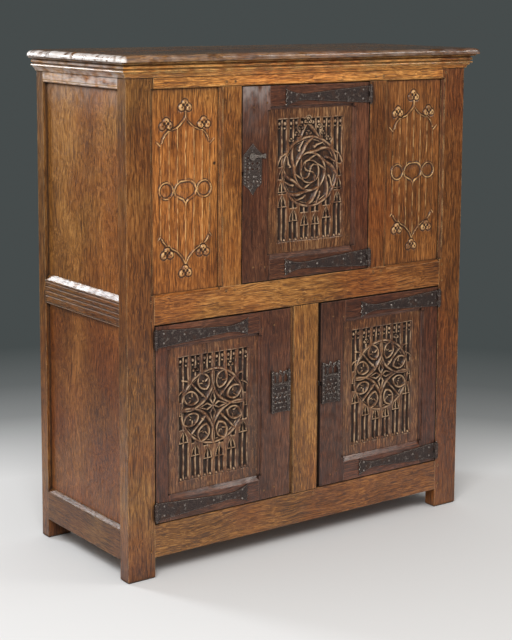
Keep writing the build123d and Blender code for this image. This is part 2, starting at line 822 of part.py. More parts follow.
# ----------------------------------------------------------------------------- cornice
# Local x is the distance out from the frame, local y the height above the frame's top.
# Under a square fillet come two worn beads, the lower one fuller, and a cove that dies
# into the frame.
bead_out = cornice_projection - 8
cove_out = cornice_projection - 13
with BuildSketch() as cornice_section:
    with BuildLine():
        Polyline((0, 0), (cornice_projection, 0), (cornice_projection, -5), (bead_out - 4, -7),
                 (bead_out - 4, -10), (bead_out, -12), (bead_out, -18), (bead_out - 5, -20),
                 (bead_out - 5, -22), (bead_out + 1, -24), (bead_out + 2, -27), (cove_out, -30),
                 (cove_out, -32), (cove_out / 2, -38), (cove_out / 3, -cornice_height),
                 (0, -cornice_height), close=True)
    make_face()

mitre_corner = {side: (side * half_width, front_y, 0) for side in (-1, 1)}
with BuildPart() as front_cornice:
    start_x = half_width + cornice_projection
    with BuildSketch(Plane(origin=(start_x, front_y, frame_top), x_dir=(0, -1, 0), z_dir=(-1, 0, 0))):
        add(cornice_section.sketch)
    extrude(amount=2 * start_x)
    for side in (-1, 1):
        split(bisect_by=Plane(origin=mitre_corner[side], z_dir=(-side, -1, 0)), keep=Keep.TOP)
save(front_cornice, "front_cornice")

for side, side_name in side_names.items():
    with BuildPart() as side_cornice:
        with BuildSketch(Plane(origin=(side * half_width, front_y - cornice_projection, frame_top),
                               x_dir=(side, 0, 0), z_dir=(0, -side, 0))):
            add(cornice_section.sketch)
        extrude(amount=-side * (back_y - front_y + cornice_projection))
        split(bisect_by=Plane(origin=mitre_corner[side], z_dir=(side, 1, 0)), keep=Keep.TOP)
    save(side_cornice, f"{side_name}_cornice")

# ----------------------------------------------------------------------------- pegs
with BuildPart() as frame_pegs:
    for joint in joints:
        for place in joint.pegs:
            peg_shape(joint, place, Mode.ADD)
save(frame_pegs, "frame_pegs")


# ----------------------------------------------------------------------- doors
def hammered_round(radius):
    """Round bar or barrel as a hammer leaves it, with narrow flats inside the radius."""
    RegularPolygon(radius, hammered_flats)


def hammered_bore(radius, mode=Mode.ADD):
    """The eye that fits round such a bar, with its flats outside the radius."""
    RegularPolygon(radius, hammered_flats, major_radius=False, mode=mode)


spindle_bore = latch_spindle_width / 2**0.5 + latch_spindle_clearance


def door_stile_x(door):
    """The two stiles' X ranges, lock side first."""
    side = door.side
    lock_edge = lock_edge_x(door)
    hinge_edge = hinge_jamb(door) - side * door_side_gap
    lock_inner = lock_edge + side * door.lock_stile_width
    hinge_inner = lock_inner + side * door_panel_opening
    return (lock_edge, lock_inner), (hinge_inner, hinge_edge)


door_y = (front_y, front_y + door_thickness)
door_slot = ("Y", (front_y + (door_thickness - door_tenon_thickness) / 2,
                   front_y + (door_thickness + door_tenon_thickness) / 2))
door_panel_y = (front_y + door_panel_setback, front_y + door_panel_setback + door_panel_thickness)
door_tongue_y = (door_panel_y[0], door_panel_y[0] + door_panel_tongue)
door_groove_y = grown(door_tongue_y, groove_clearance)
door_tongue = door_groove_depth - panel_shrinkage_room


def door_joint(door, shoulder, toward, rail_z):
    width = (rail_z[0] + tenon_shoulder, rail_z[1] - tenon_shoulder)
    return TenonJoint("stile", "rail", ("X",), shoulder, toward, door_tenon, door_slot, -1, front_y,
                      width, [])


def polar(radius, angle):
    return Vector(radius, 0).rotate(Axis.Z, angle)


def lancet(centre_x, foot, point, width):
    """Cut a narrow light with a pointed head, from foot to point."""
    half = width / 2
    head = min(width * lancet_head_share, (point - foot) / 2)
    with BuildLine() as outline:
        Polyline((centre_x - half, foot), (centre_x + half, foot), (centre_x + half, point - head),
                 (centre_x + half * 0.6, point - head * 0.4), (centre_x, point),
                 (centre_x - half * 0.6, point - head * 0.4), (centre_x - half, point - head), close=True)
    make_face(outline.edges(), mode=Mode.SUBTRACT)


def ring(radius, bar, sides):
    """A ring of tracery, cleared inside for its own lights."""
    RegularPolygon(radius, sides)
    RegularPolygon(radius - bar, sides, mode=Mode.SUBTRACT)


def blade(radii, angles, width):
    """A curved bar that runs in from the first radius to the last while it turns."""
    steps = range(blade_steps + 1)
    middle = [polar(radii[0] + (radii[1] - radii[0]) * step / blade_steps,
                    angles[0] + (angles[1] - angles[0]) * (step / blade_steps) ** 1.5) for step in steps]
    ends = [middle[min(step + 1, blade_steps)] - middle[max(step - 1, 0)] for step in steps]
    aside = [end.normalized().rotate(Axis.Z, 90) * (width / 2) for end in ends]
    with BuildLine() as outline:
        Polyline(*[point + offset for point, offset in zip(middle, aside)],
                 *[point - offset for point, offset in reversed(list(zip(middle, aside)))], close=True)
    make_face(outline.edges())


def whirling_rose():
    """Eight blades that turn inside the ring, six in a smaller ring and four round the boss."""
    ring(tracery_ring_radius, tracery_rib, ring_sides)
    ring(eye_ring_radius, tracery_bar, ring_sides // 2)
    ring(heart_ring_radius, tracery_bar, ring_sides // 4)
    reaches = [radius - tracery_bar / 2 for radius in (tracery_ring_radius, eye_ring_radius, heart_ring_radius)]
    for outer, inner, count, first, sweep in zip(reaches, [*reaches[1:], boss_radius / 2], whirl_counts,
                                                 whirl_starts, whirl_sweeps):
        for turn in range(0, 360, 360 // count):
            blade((outer, inner), (first + turn, first + turn + sweep), tracery_bar)
    RegularPolygon(boss_radius, 8)


def star_rose():
    """A four-pointed star with hollow sides, a pointed light in each arm, and eight cusps between."""
    ring(tracery_ring_radius, tracery_rib, ring_sides)
    reach = tracery_ring_radius - tracery_rib / 2
    for turn in range(0, 360, 90):
        star_side = [polar(reach, turn), polar(star_waist * 1.45, turn + 15), polar(star_waist, turn + 45),
                     polar(star_waist * 1.45, turn + 75), polar(reach, turn + 90)]
        bar = polar(tracery_bar, turn + 45)
        with BuildLine() as outline:
            Polyline(*star_side, *[point + bar for point in reversed(star_side)], close=True)
        make_face(outline.edges())
        with BuildLine() as outline:
            Polyline((0, 0), polar(star_waist, turn - 20), polar(reach * 0.8, turn), polar(star_waist, turn + 20),
                     close=True)
        make_face(outline.edges())
        with BuildLine() as outline:
            Polyline(polar(boss_radius * 1.5, turn), polar(star_waist * 0.85, turn - 11),
                     polar(reach * 0.65, turn), polar(star_waist * 0.85, turn + 11), close=True)
        make_face(outline.edges(), mode=Mode.SUBTRACT)
    for cusp in range(8):
        turn = 45 * cusp + 22.5
        with BuildLine() as outline:
            Polyline(polar(reach, turn - 15), polar(cusp_radius, turn - 13), polar(cusp_radius * 0.88, turn),
                     polar(cusp_radius, turn + 13), polar(reach, turn + 15), polar(reach, turn + 12),
                     polar(cusp_radius + tracery_bar * 0.6, turn + 9), polar(cusp_radius * 0.88 + tracery_bar, turn),
                     polar(cusp_radius + tracery_bar * 0.6, turn - 9), polar(reach, turn - 12), close=True)
        make_face(outline.edges())
    RegularPolygon(boss_radius, 8)


def ogee_gable():
    """Two curved bars that spring from the ring's shoulders and meet in a point above it."""
    shoulder = polar(tracery_ring_radius, 48)
    points = [(shoulder.X, shoulder.Y), (shoulder.X * 0.72, ogee_rise * 0.68), (shoulder.X * 0.34, ogee_rise * 0.8),
              (0, ogee_rise)]
    bar = tracery_rib * 1.6
    for side in (-1, 1):
        with BuildLine() as outline:
            Polyline(*[(side * x, y) for x, y in points],
                     *[(side * max(x - bar / 3, 0), y - bar) for x, y in reversed(points)], close=True)
        make_face(outline.edges())


def door_tracery(door, width, height):
    """Lights in narrow bays above and beside the ring, and four broader ones under it.

    The rose is drawn for the door's real field, and is drawn to another scale in another field.
    """
    fit = min(width / tracery_width, height / tracery_height)
    ring_centre = tracery_ring_centre * fit
    with Locations((0, height / 2)):
        Rectangle(width, height)
    bays = round(width / lancet_pitch)
    broad = range(-2, 2)
    for bay in range(bays):
        bay_x = (bay + 0.5) * lancet_pitch - width / 2
        beside = abs(bay_x) > 4 * lancet_pitch
        foot = carving_sill if beside else ring_centre
        lancet(bay_x, foot, height - tracery_bar, lancet_pitch - tracery_bar)
    for bay in broad:
        bay_x = (bay + 0.5) * 2 * lancet_pitch
        lancet(bay_x, carving_sill, ring_centre - tracery_ring_radius * fit * 0.9,
               2 * lancet_pitch - tracery_bar)
    with BuildSketch(mode=Mode.PRIVATE) as rose:
        if door.name == "upper_door":
            ogee_gable()
            RegularPolygon(tracery_ring_radius, ring_sides)
            whirling_rose()
        else:
            star_rose()
    with Locations((0, ring_centre)):
        RegularPolygon((tracery_ring_radius - tracery_rib) * fit, ring_sides, mode=Mode.SUBTRACT)
        add(scale(rose.sketch, by=fit, mode=Mode.PRIVATE))


for door in doors:
    side = door.side
    low, high = door_z(door)
    lock_x, hinge_x = door_stile_x(door)
    opening_x = (lock_x[1], hinge_x[0])
    bottom_rail_z = (low, low + door_bottom_rail_height)
    top_rail_z = (high - door_top_rail_height, high)
    opening_z = (bottom_rail_z[1], top_rail_z[0])
    bolt_z = bolt_level(door)
    door_joints = {
        "lock": [door_joint(door, lock_x[1], -side, rail_z) for rail_z in (bottom_rail_z, top_rail_z)],
        "hinge": [door_joint(door, hinge_x[0], side, rail_z) for rail_z in (bottom_rail_z, top_rail_z)],
    }

    # Hinge stile and lock stile
    for part_name, stile_x, inner_x, into_stile in (
            ("hinge_stile", hinge_x, hinge_x[0], side), ("lock_stile", lock_x, lock_x[1], -side)):
        with BuildPart() as door_stile:
            with BuildSketch(Plane.XY.offset(low)):
                with Locations((sum(stile_x) / 2, sum(door_y) / 2)):
                    Rectangle(abs(stile_x[1] - stile_x[0]), door_thickness)
            extrude(amount=high - low)
            cut_along((inner_x, front_y, opening_z[0]), (inner_x, front_y, opening_z[1]),
                      (into_stile, 0, 0), (0, 1, 0), moulding)
            groove((inner_x, inner_x + into_stile * door_groove_depth), door_groove_y,
                   grown(opening_z, door_groove_depth))
            for joint in door_joints[part_name.split("_")[0]]:
                cut_mortise(joint)
            if part_name == "lock_stile":
                pocket_x = (lock_x[0], lock_x[0] + side * (bolt_length + bolt_end_inset + bolt_room))
                block(pocket_x, (front_y, front_y + bolt_setback + bolt_thickness + bolt_room),
                      grown((bolt_z, bolt_z), bolt_height / 2 + bolt_room), mode=Mode.SUBTRACT)
                if door.name == "upper_door":
                    with BuildSketch(face_plane):
                        with Locations((lock_x[0] + side * latch_inset, lock_plate_foot(door) + latch_rise)):
                            hammered_bore(spindle_bore)
                    extrude(amount=-door_thickness, mode=Mode.SUBTRACT)
        save(door_stile, f"{door.name}_{part_name}")

    # Rails, tenoned into the stiles at both ends
    for part_name, rail_z, joint_index in (("bottom_rail", bottom_rail_z, 0), ("top_rail", top_rail_z, 1)):
        inner_z = opening_z[joint_index]
        into_rail = -1 if part_name == "bottom_rail" else 1
        edge_section = moulding
        if part_name == "bottom_rail":
            edge_section = chamfer_section(door_sill_height, door_sill_depth)
        with BuildPart() as door_rail:
            with BuildSketch(Plane.YZ.offset(min(opening_x))):
                with Locations((sum(door_y) / 2, sum(rail_z) / 2)):
                    Rectangle(door_thickness, rail_z[1] - rail_z[0])
            extrude(amount=door_panel_opening)
            cut_along((min(opening_x), front_y, inner_z), (max(opening_x), front_y, inner_z),
                      (0, 0, into_rail), (0, 1, 0), edge_section)
            groove(opening_x, door_groove_y, (inner_z, inner_z + into_rail * door_groove_depth))
            for joint_list in door_joints.values():
                cut_tenon(joint_list[joint_index])
        save(door_rail, f"{door.name}_{part_name}")

    # Carved panel: tracery left standing in a sunk field with a sloping sill
    centre_x = sum(opening_x) / 2
    field_width = door_panel_opening - 2 * carving_margin
    field_base = opening_z[0] + carving_margin
    field_height = opening_z[1] - opening_z[0] - 2 * carving_margin
    panel_plane = Plane(origin=(centre_x, door_panel_y[0], field_base), x_dir=(1, 0, 0), z_dir=(0, -1, 0))
    ground_plane = panel_plane.offset(-carving_depth)
    with BuildPart() as door_panel:
        block(grown(opening_x, -1.0), door_panel_y, grown(opening_z, -1.0))
        block(grown(opening_x, door_tongue), door_tongue_y,
              (opening_z[0] - door_groove_depth, opening_z[1] + door_tongue))
        with BuildSketch(panel_plane):
            with Locations((0, field_height / 2)):
                Rectangle(field_width, field_height)
        extrude(amount=-carving_depth, mode=Mode.SUBTRACT)
        with BuildSketch(ground_plane):
            door_tracery(door, field_width, field_height)
        extrude(amount=tracery_relief)
    save(door_panel, f"{door.name}_panel")

    # Strap hinges: a tapered strap with a scalloped tail, rolled into two knuckles
    axis_x, axis_y = hinge_axis(door)
    root, waist, tail = strap_root_height / 2, strap_waist_height / 2, strap_tail_height / 2
    with BuildPart() as straps:
        for level in strap_levels(door):
            strap_plane = Plane(origin=(axis_x, front_y, level), x_dir=(-side, 0, 0), z_dir=(0, side, 0))
            with BuildSketch(strap_plane):
                with BuildLine():
                    for edge in (-1, 1):
                        Polyline((1, 0), (1, edge * root), (20, edge * root),
                                 (strap_waist_place, edge * waist))
                        ThreePointArc((strap_waist_place, edge * waist),
                                      ((strap_waist_place + strap_length) / 2 + 6,
                                       edge * (waist * 0.72 + tail * 0.28)),
                                      (strap_length, edge * tail))
                    step = strap_tail_height / strap_tail_scallops
                    for scallop in range(strap_tail_scallops):
                        start = tail - scallop * step
                        Polyline((strap_length, start),
                                 (strap_length - strap_scallop_depth, start - step / 2),
                                 (strap_length, start - step))
                make_face()
            extrude(amount=-side * strap_thickness)
            with BuildSketch(Plane(origin=(axis_x, axis_y, level - root))):
                hammered_round(barrel_radius)
            extrude(amount=strap_root_height)
            notch_reach = barrel_radius + knuckle_swing_room
            block((axis_x + side * notch_reach, axis_x - side * notch_reach),
                  (axis_y - notch_reach, front_y + 1),
                  grown((level, level), knuckle_height / 2 + knuckle_room), mode=Mode.SUBTRACT)
            with BuildSketch(Plane(origin=(axis_x, axis_y, level - root))):
                hammered_bore(pin_radius + pin_clearance)
            extrude(amount=strap_root_height, mode=Mode.SUBTRACT)
    save(straps, f"{door.name}_straps")

    # Lock plate, fixed on the lock stile, with two ribs behind it that guide the bolt
    plate_width, plate_height = lock_plate_size(door)
    half = plate_width / 2
    plate_centre_x = lock_x[0] + side * (lock_edge_inset + half)
    plate_plane = Plane(origin=(plate_centre_x, front_y, lock_plate_foot(door)), x_dir=(1, 0, 0),
                        z_dir=(0, -1, 0))
    with BuildPart() as lock_plate:
        if door.name == "upper_door":
            with BuildSketch(plate_plane):
                with BuildLine():
                    Polyline((0, 0), (half * 0.4, plate_point * 0.55), (half, plate_point),
                             (half, plate_height - plate_point), (half * 0.4, plate_height - plate_point * 0.45),
                             (0, plate_height), (-half * 0.4, plate_height - plate_point * 0.45),
                             (-half, plate_height - plate_point), (-half, plate_point),
                             (-half * 0.4, plate_point * 0.55), close=True)
                make_face()
                with Locations((0, plate_height / 2)):
                    with GridLocations(piercing_pitch, piercing_pitch, 3, 5):
                        Rectangle(piercing_size, piercing_size, rotation=45, mode=Mode.SUBTRACT)
                spindle_x = lock_x[0] + side * latch_inset - plate_centre_x
                with Locations((spindle_x, latch_rise)):
                    hammered_round(latch_boss_radius)
                    hammered_bore(spindle_bore, mode=Mode.SUBTRACT)
                with Locations((0, bolt_rise)):
                    Rectangle(plate_width, bolt_height + 2 * plate_lap)
            extrude(amount=lock_plate_thickness)
        else:
            with BuildSketch(plate_plane):
                with BuildLine():
                    Polyline((-half, 0), (half, 0), (half, plate_height - crest_point),
                             (half * 0.66, plate_height), (half * 0.33, plate_height - crest_point),
                             (0, plate_height), (-half * 0.33, plate_height - crest_point),
                             (-half * 0.66, plate_height), (-half, plate_height - crest_point), close=True)
                make_face()
                with Locations((0, (lock_bar_rise - bolt_height) / 2)):
                    with GridLocations(piercing_pitch, piercing_pitch, 3, 3):
                        Rectangle(piercing_size, piercing_size, rotation=45, mode=Mode.SUBTRACT)
                for arch in (-1, 0, 1):
                    lancet(arch * half * 0.6, lock_bar_rise + lock_bar_height + plate_lap,
                           plate_height - crest_point / 2, half * 0.4)
                with Locations((0, bolt_rise)):
                    Rectangle(plate_width, bolt_height + 2 * plate_lap)
            extrude(amount=lock_plate_thickness)
            with BuildSketch(plate_plane):
                with Locations((0, lock_bar_rise + lock_bar_height / 2)):
                    Rectangle(plate_width, lock_bar_height)
            extrude(amount=lock_bar_depth)
            with BuildSketch(plate_plane):
                for edge in (-1, 1):
                    inner = edge * (half - buttress_width)
                    with BuildLine():
                        Polyline((edge * half, 0), (edge * half, plate_height - plate_lap),
                                 (edge * (half - buttress_width / 2), plate_height + plate_lap),
                                 (inner, plate_height - plate_lap), (inner, 0), close=True)
                    make_face()
            extrude(amount=buttress_depth)
        for guide_x in (plate_centre_x - half / 3, plate_centre_x + half / 3):
            block(grown((guide_x, guide_x), bolt_guide_width / 2),
                  (front_y, front_y + bolt_setback - bolt_room),
                  grown((bolt_z, bolt_z), bolt_height / 2))
    save(lock_plate, f"{door.name}_lock_plate")

    # Lock bolt, drawn back
    bolt_x = (lock_x[0] + side * bolt_end_inset, lock_x[0] + side * (bolt_end_inset + bolt_length))
    with BuildPart() as bolt:
        block(bolt_x, (front_y + bolt_setback, front_y + bolt_setback + bolt_thickness),
              grown((bolt_z, bolt_z), bolt_height / 2))
        block(grown((sum(bolt_x) / 2,) * 2, talon_width / 2),
              (front_y + bolt_setback, front_y + bolt_setback + bolt_thickness),
              (bolt_z - bolt_height / 2, bolt_z - bolt_height / 2 + talon_depth), mode=Mode.SUBTRACT)
    save(bolt, f"{door.name}_bolt")

# ------------------------------------------------------------------- hinge leaves, pins
with BuildPart() as hinge_leaves:
    for door in doors:
        axis_x, axis_y = hinge_axis(door)
        jamb = hinge_jamb(door)
        leaf_x = (jamb, jamb + door.side * leaf_thickness)
        for level in strap_levels(door):
            knuckle_z = grown((level, level), knuckle_height / 2)
            with BuildSketch(Plane(origin=(axis_x, axis_y, knuckle_z[0]))):
                hammered_round(barrel_radius)
            extrude(amount=knuckle_height)
            block(leaf_x, (axis_y, front_y + leaf_depth), knuckle_z)
            block(leaf_x, (front_y + leaf_thickness + leaf_room, front_y + leaf_depth),
                  grown((level, level), leaf_height / 2))
            with BuildSketch(Plane(origin=(axis_x, axis_y, knuckle_z[0]))):
                hammered_bore(pin_radius + pin_clearance)
            extrude(amount=knuckle_height, mode=Mode.SUBTRACT)
save(hinge_leaves, "hinge_leaves")

with BuildPart() as hinge_pins:
    for door in doors:
        axis_x, axis_y = hinge_axis(door)
        for level in strap_levels(door):
            with BuildSketch(Plane(origin=(axis_x, axis_y, level))):
                hammered_round(pin_radius)
            extrude(amount=strap_root_height / 2 + pin_end_length, both=True)
save(hinge_pins, "hinge_pins")

# ---------------------------------------------------------------- latch of the upper door
# A square spindle turns in a round hole; the lever is forged on its front end and the
# tongue is pinned on behind, past the frame.
lock_x, hinge_x = door_stile_x(upper_door)
spindle_x = lock_x[0] + upper_door.side * latch_inset
spindle_z = lock_plate_foot(upper_door) + latch_rise
lever_back = front_y - lock_plate_thickness - latch_room
tongue_back = front_y + front_rail_thickness + latch_clearance_behind_frame + latch_tongue_thickness


def latch_plane(y):
    return Plane(origin=(spindle_x, y, spindle_z), x_dir=(1, 0, 0), z_dir=(0, -1, 0))


with BuildPart() as latch_lever:
    with BuildSketch(latch_plane(lever_back)):
        hammered_round(latch_boss_radius)
        with BuildLine():
            Polyline((0, latch_lever_neck / 2), (latch_lever_length * 0.7, latch_lever_neck / 2),
                     (latch_lever_length, latch_lever_tip / 2), (latch_lever_length, -latch_lever_tip / 2),
                     (latch_lever_length * 0.7, -latch_lever_neck / 2), (0, -latch_lever_neck / 2), close=True)
        make_face()
    extrude(amount=latch_lever_thickness)
    with BuildSketch(latch_plane(tongue_back)):
        Rectangle(latch_spindle_width, latch_spindle_width)
    extrude(amount=tongue_back - lever_back)
save(latch_lever, "upper_door_latch_lever")

with BuildPart() as latch_tongue:
    with BuildSketch(latch_plane(tongue_back)):
        RegularPolygon(latch_hub_radius, hammered_flats // 2)
        with Locations((0, -latch_tongue_length / 2)):
            Rectangle(latch_tongue_width, latch_tongue_length)
    extrude(amount=latch_tongue_thickness)
    with BuildSketch(latch_plane(tongue_back)):
        RegularPolygon(latch_hub_radius, hammered_flats // 2)
    extrude(amount=tongue_back - door_y[1] - latch_room)
    with BuildSketch(latch_plane(tongue_back)):
        Rectangle(latch_spindle_width + latch_spindle_clearance, latch_spindle_width + latch_spindle_clearance)
    extrude(amount=tongue_back - door_y[1], mode=Mode.SUBTRACT)
save(latch_tongue, "upper_door_latch_tongue")
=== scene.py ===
import math

import bmesh
import bpy
import numpy as np
from mathutils import Matrix, Vector, noise


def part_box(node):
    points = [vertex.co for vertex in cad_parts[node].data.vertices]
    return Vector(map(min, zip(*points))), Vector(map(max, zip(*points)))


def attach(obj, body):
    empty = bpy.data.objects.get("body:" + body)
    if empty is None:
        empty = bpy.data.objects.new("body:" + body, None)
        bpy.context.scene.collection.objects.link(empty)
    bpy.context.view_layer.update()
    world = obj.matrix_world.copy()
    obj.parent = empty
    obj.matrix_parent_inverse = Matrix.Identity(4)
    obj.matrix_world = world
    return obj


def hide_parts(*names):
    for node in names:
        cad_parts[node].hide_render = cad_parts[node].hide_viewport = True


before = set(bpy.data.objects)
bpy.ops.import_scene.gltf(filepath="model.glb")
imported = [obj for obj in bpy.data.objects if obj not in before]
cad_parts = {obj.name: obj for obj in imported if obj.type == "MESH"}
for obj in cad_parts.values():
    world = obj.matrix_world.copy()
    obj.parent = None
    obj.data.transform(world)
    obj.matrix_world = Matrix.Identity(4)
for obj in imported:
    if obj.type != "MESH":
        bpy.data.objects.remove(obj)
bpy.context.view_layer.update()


# The four corner stiles: posts of riven oak that run down to the floor as feet, mortised
# for every rail. Waxed and worn for centuries, they are golden on the flats, dark in the
# pores, darkened with painted shade in the corners, and pale where hands have rubbed the
# arrises, which also carry a painted highlight.
class Shade:
    """A material's node tree, or one output in it that can be added, multiplied and mixed."""

    def __init__(self, tree, socket=None):
        self.tree, self.socket = tree, socket

    def node(self, kind, settings=None, inputs=None, output=0):
        """Any node of the tree, with its settings made first and then its sockets set or linked."""
        made = self.tree.nodes.new("ShaderNode" + kind)
        for key, value in (settings or {}).items():
            if key == "stops":
                while len(made.color_ramp.elements) < len(value):
                    made.color_ramp.elements.new(1.0)
                for element, (place, tone) in zip(made.color_ramp.elements, value):
                    element.position, element.color = place, (*tone, 1.0)
            else:
                setattr(made, key, value)
        for key, value in (inputs or {}).items():
            if isinstance(value, Shade):
                self.tree.links.new(value.socket, made.inputs[key])
            else:
                made.inputs[key].default_value = value
        return Shade(self.tree, made.outputs[output])

    def math(self, operation, *terms, clamp=False):
        return self.node("Math", {"operation": operation, "use_clamp": clamp}, dict(enumerate(terms)))

    def vector(self, operation, *terms, output=0):
        return self.node("VectorMath", {"operation": operation}, dict(enumerate(terms)), output)

    def __add__(self, other):
        return self.math("ADD", self, other)

    def __sub__(self, other):
        return self.math("SUBTRACT", self, other)

    def __rsub__(self, other):
        return self.math("SUBTRACT", other, self)

    def __mul__(self, other):
        return self.math("MULTIPLY", self, other)

    __radd__, __rmul__ = __add__, __mul__

    def between(self, low, high):
        """0 at low, 1 at high, smooth in between."""
        return self.node("MapRange", {"interpolation_type": "SMOOTHSTEP"}, {0: self, 1: low, 2: high})

    def tint(self, first, second, blend="MIX"):
        """first where this is 0, second where it is 1; both are colours."""
        ends = {key: value if isinstance(value, Shade) else (*value, 1.0)
                for key, value in ((6, first), (7, second))}
        return self.node("Mix", {"data_type": "RGBA", "blend_type": blend}, {0: self, **ends}, 2)

    def part(self, axis):
        """How far a place lies along one axis."""
        return self.node("SeparateXYZ", None, {0: self}, "xyz".index(axis))

    def stretch(self, factors, shift=(0.0, 0.0, 0.0)):
        return self.node("Mapping", None, {"Vector": self, "Location": shift, "Scale": factors})

    def along(self, axis, squash):
        """The same place squashed along one axis, so that a pattern runs out along it."""
        return self.stretch(tuple(squash if letter == axis else 1.0 for letter in "xyz"))

    def wander(self, scale, amount):
        """The same place led astray by a slow noise, as the grain wanders in a tree."""
        drift = self.node("TexNoise", None, {"Vector": self, "Scale": scale, "Detail": 2.0}, 1)
        return self.vector("MULTIPLY_ADD", drift, (amount,) * 3, self)

    def noise(self, scale, detail, distortion=0.0):
        return self.node("TexNoise", None, {"Vector": self, "Scale": scale, "Detail": detail,
                                            "Distortion": distortion})


def new_material(name):
    """A material, its node tree to build on, and its main shader."""
    material = bpy.data.materials.new(name)
    material.use_nodes = True
    return material, Shade(material.node_tree), material.node_tree.nodes["Principled BSDF"]


def feed(shade, shader, **inputs):
    """Set or link the shader's sockets, which are named here with underscores for spaces."""
    for key, value in inputs.items():
        socket = shader.inputs[key.replace("_", " ")]
        if isinstance(value, Shade):
            shade.tree.links.new(value.socket, socket)
        else:
            socket.default_value = value


def rounded(shade, radius):
    """The normal as it turns over arrises worn to that radius, and how near an arris is, 0 on the flat."""
    soft = shade.node("Bevel", {"samples": 4}, {"Radius": radius})
    flat = shade.node("NewGeometry", output=1)
    return soft, 1 - shade.vector("DOT_PRODUCT", soft, flat, output=1)


def dimmed(tone, share):
    """The same tone with that share of its light."""
    return tuple(part * share for part in tone)


def deeper(tones, share):
    """All of a wood's tones dimmed alike, as the smoke has darkened them."""
    return tuple(dimmed(tone, share) for tone in tones)


def marks_and_painted_light(colour, place, wood, grain, wax_and_shade_tone, stain_and_shade, knots, painted_sheens):
    """The marks on one piece: a darkening to one end (a stain on some pieces, painted shade on
    others), black knots, and patches of painted sheen.
    """
    stain_and_shade_tone, sheen_tone = (0.72, 0.60, 0.56), (0.78, 0.72, 0.70)
    knot_rim, knot_heart = 0.0075, 0.0030
    # The darkening is a stain on the stiles' feet; where pieces darken towards the right, it is painted shade
    # for the light falling off there.
    if stain_and_shade is not None:
        axis, first, last = stain_and_shade
        spread = place.part(axis) + (place.noise(9, 2) * 0.12 - 0.06)
        colour = spread.between(first, last).tint(colour, stain_and_shade_tone, "MULTIPLY")
    for knot in knots:
        away = place.vector("DISTANCE", place.wander(90.0, 0.003), knot, output=1)
        colour = away.between(knot_rim, knot_heart).tint(colour, wax_and_shade_tone)
    # Painted sheen: patches of the wood paled toward a whitish tone, for light glancing off the wax.
    for axis, first, last, share in painted_sheens:
        spread = place.part(axis).between(first, last)
        patchy = wood.along(grain, 0.6).noise(45, 4).between(0.28, 0.66)
        colour = spread.math("MULTIPLY", spread * share, patchy, clamp=True).tint(colour, sheen_tone)
    return colour


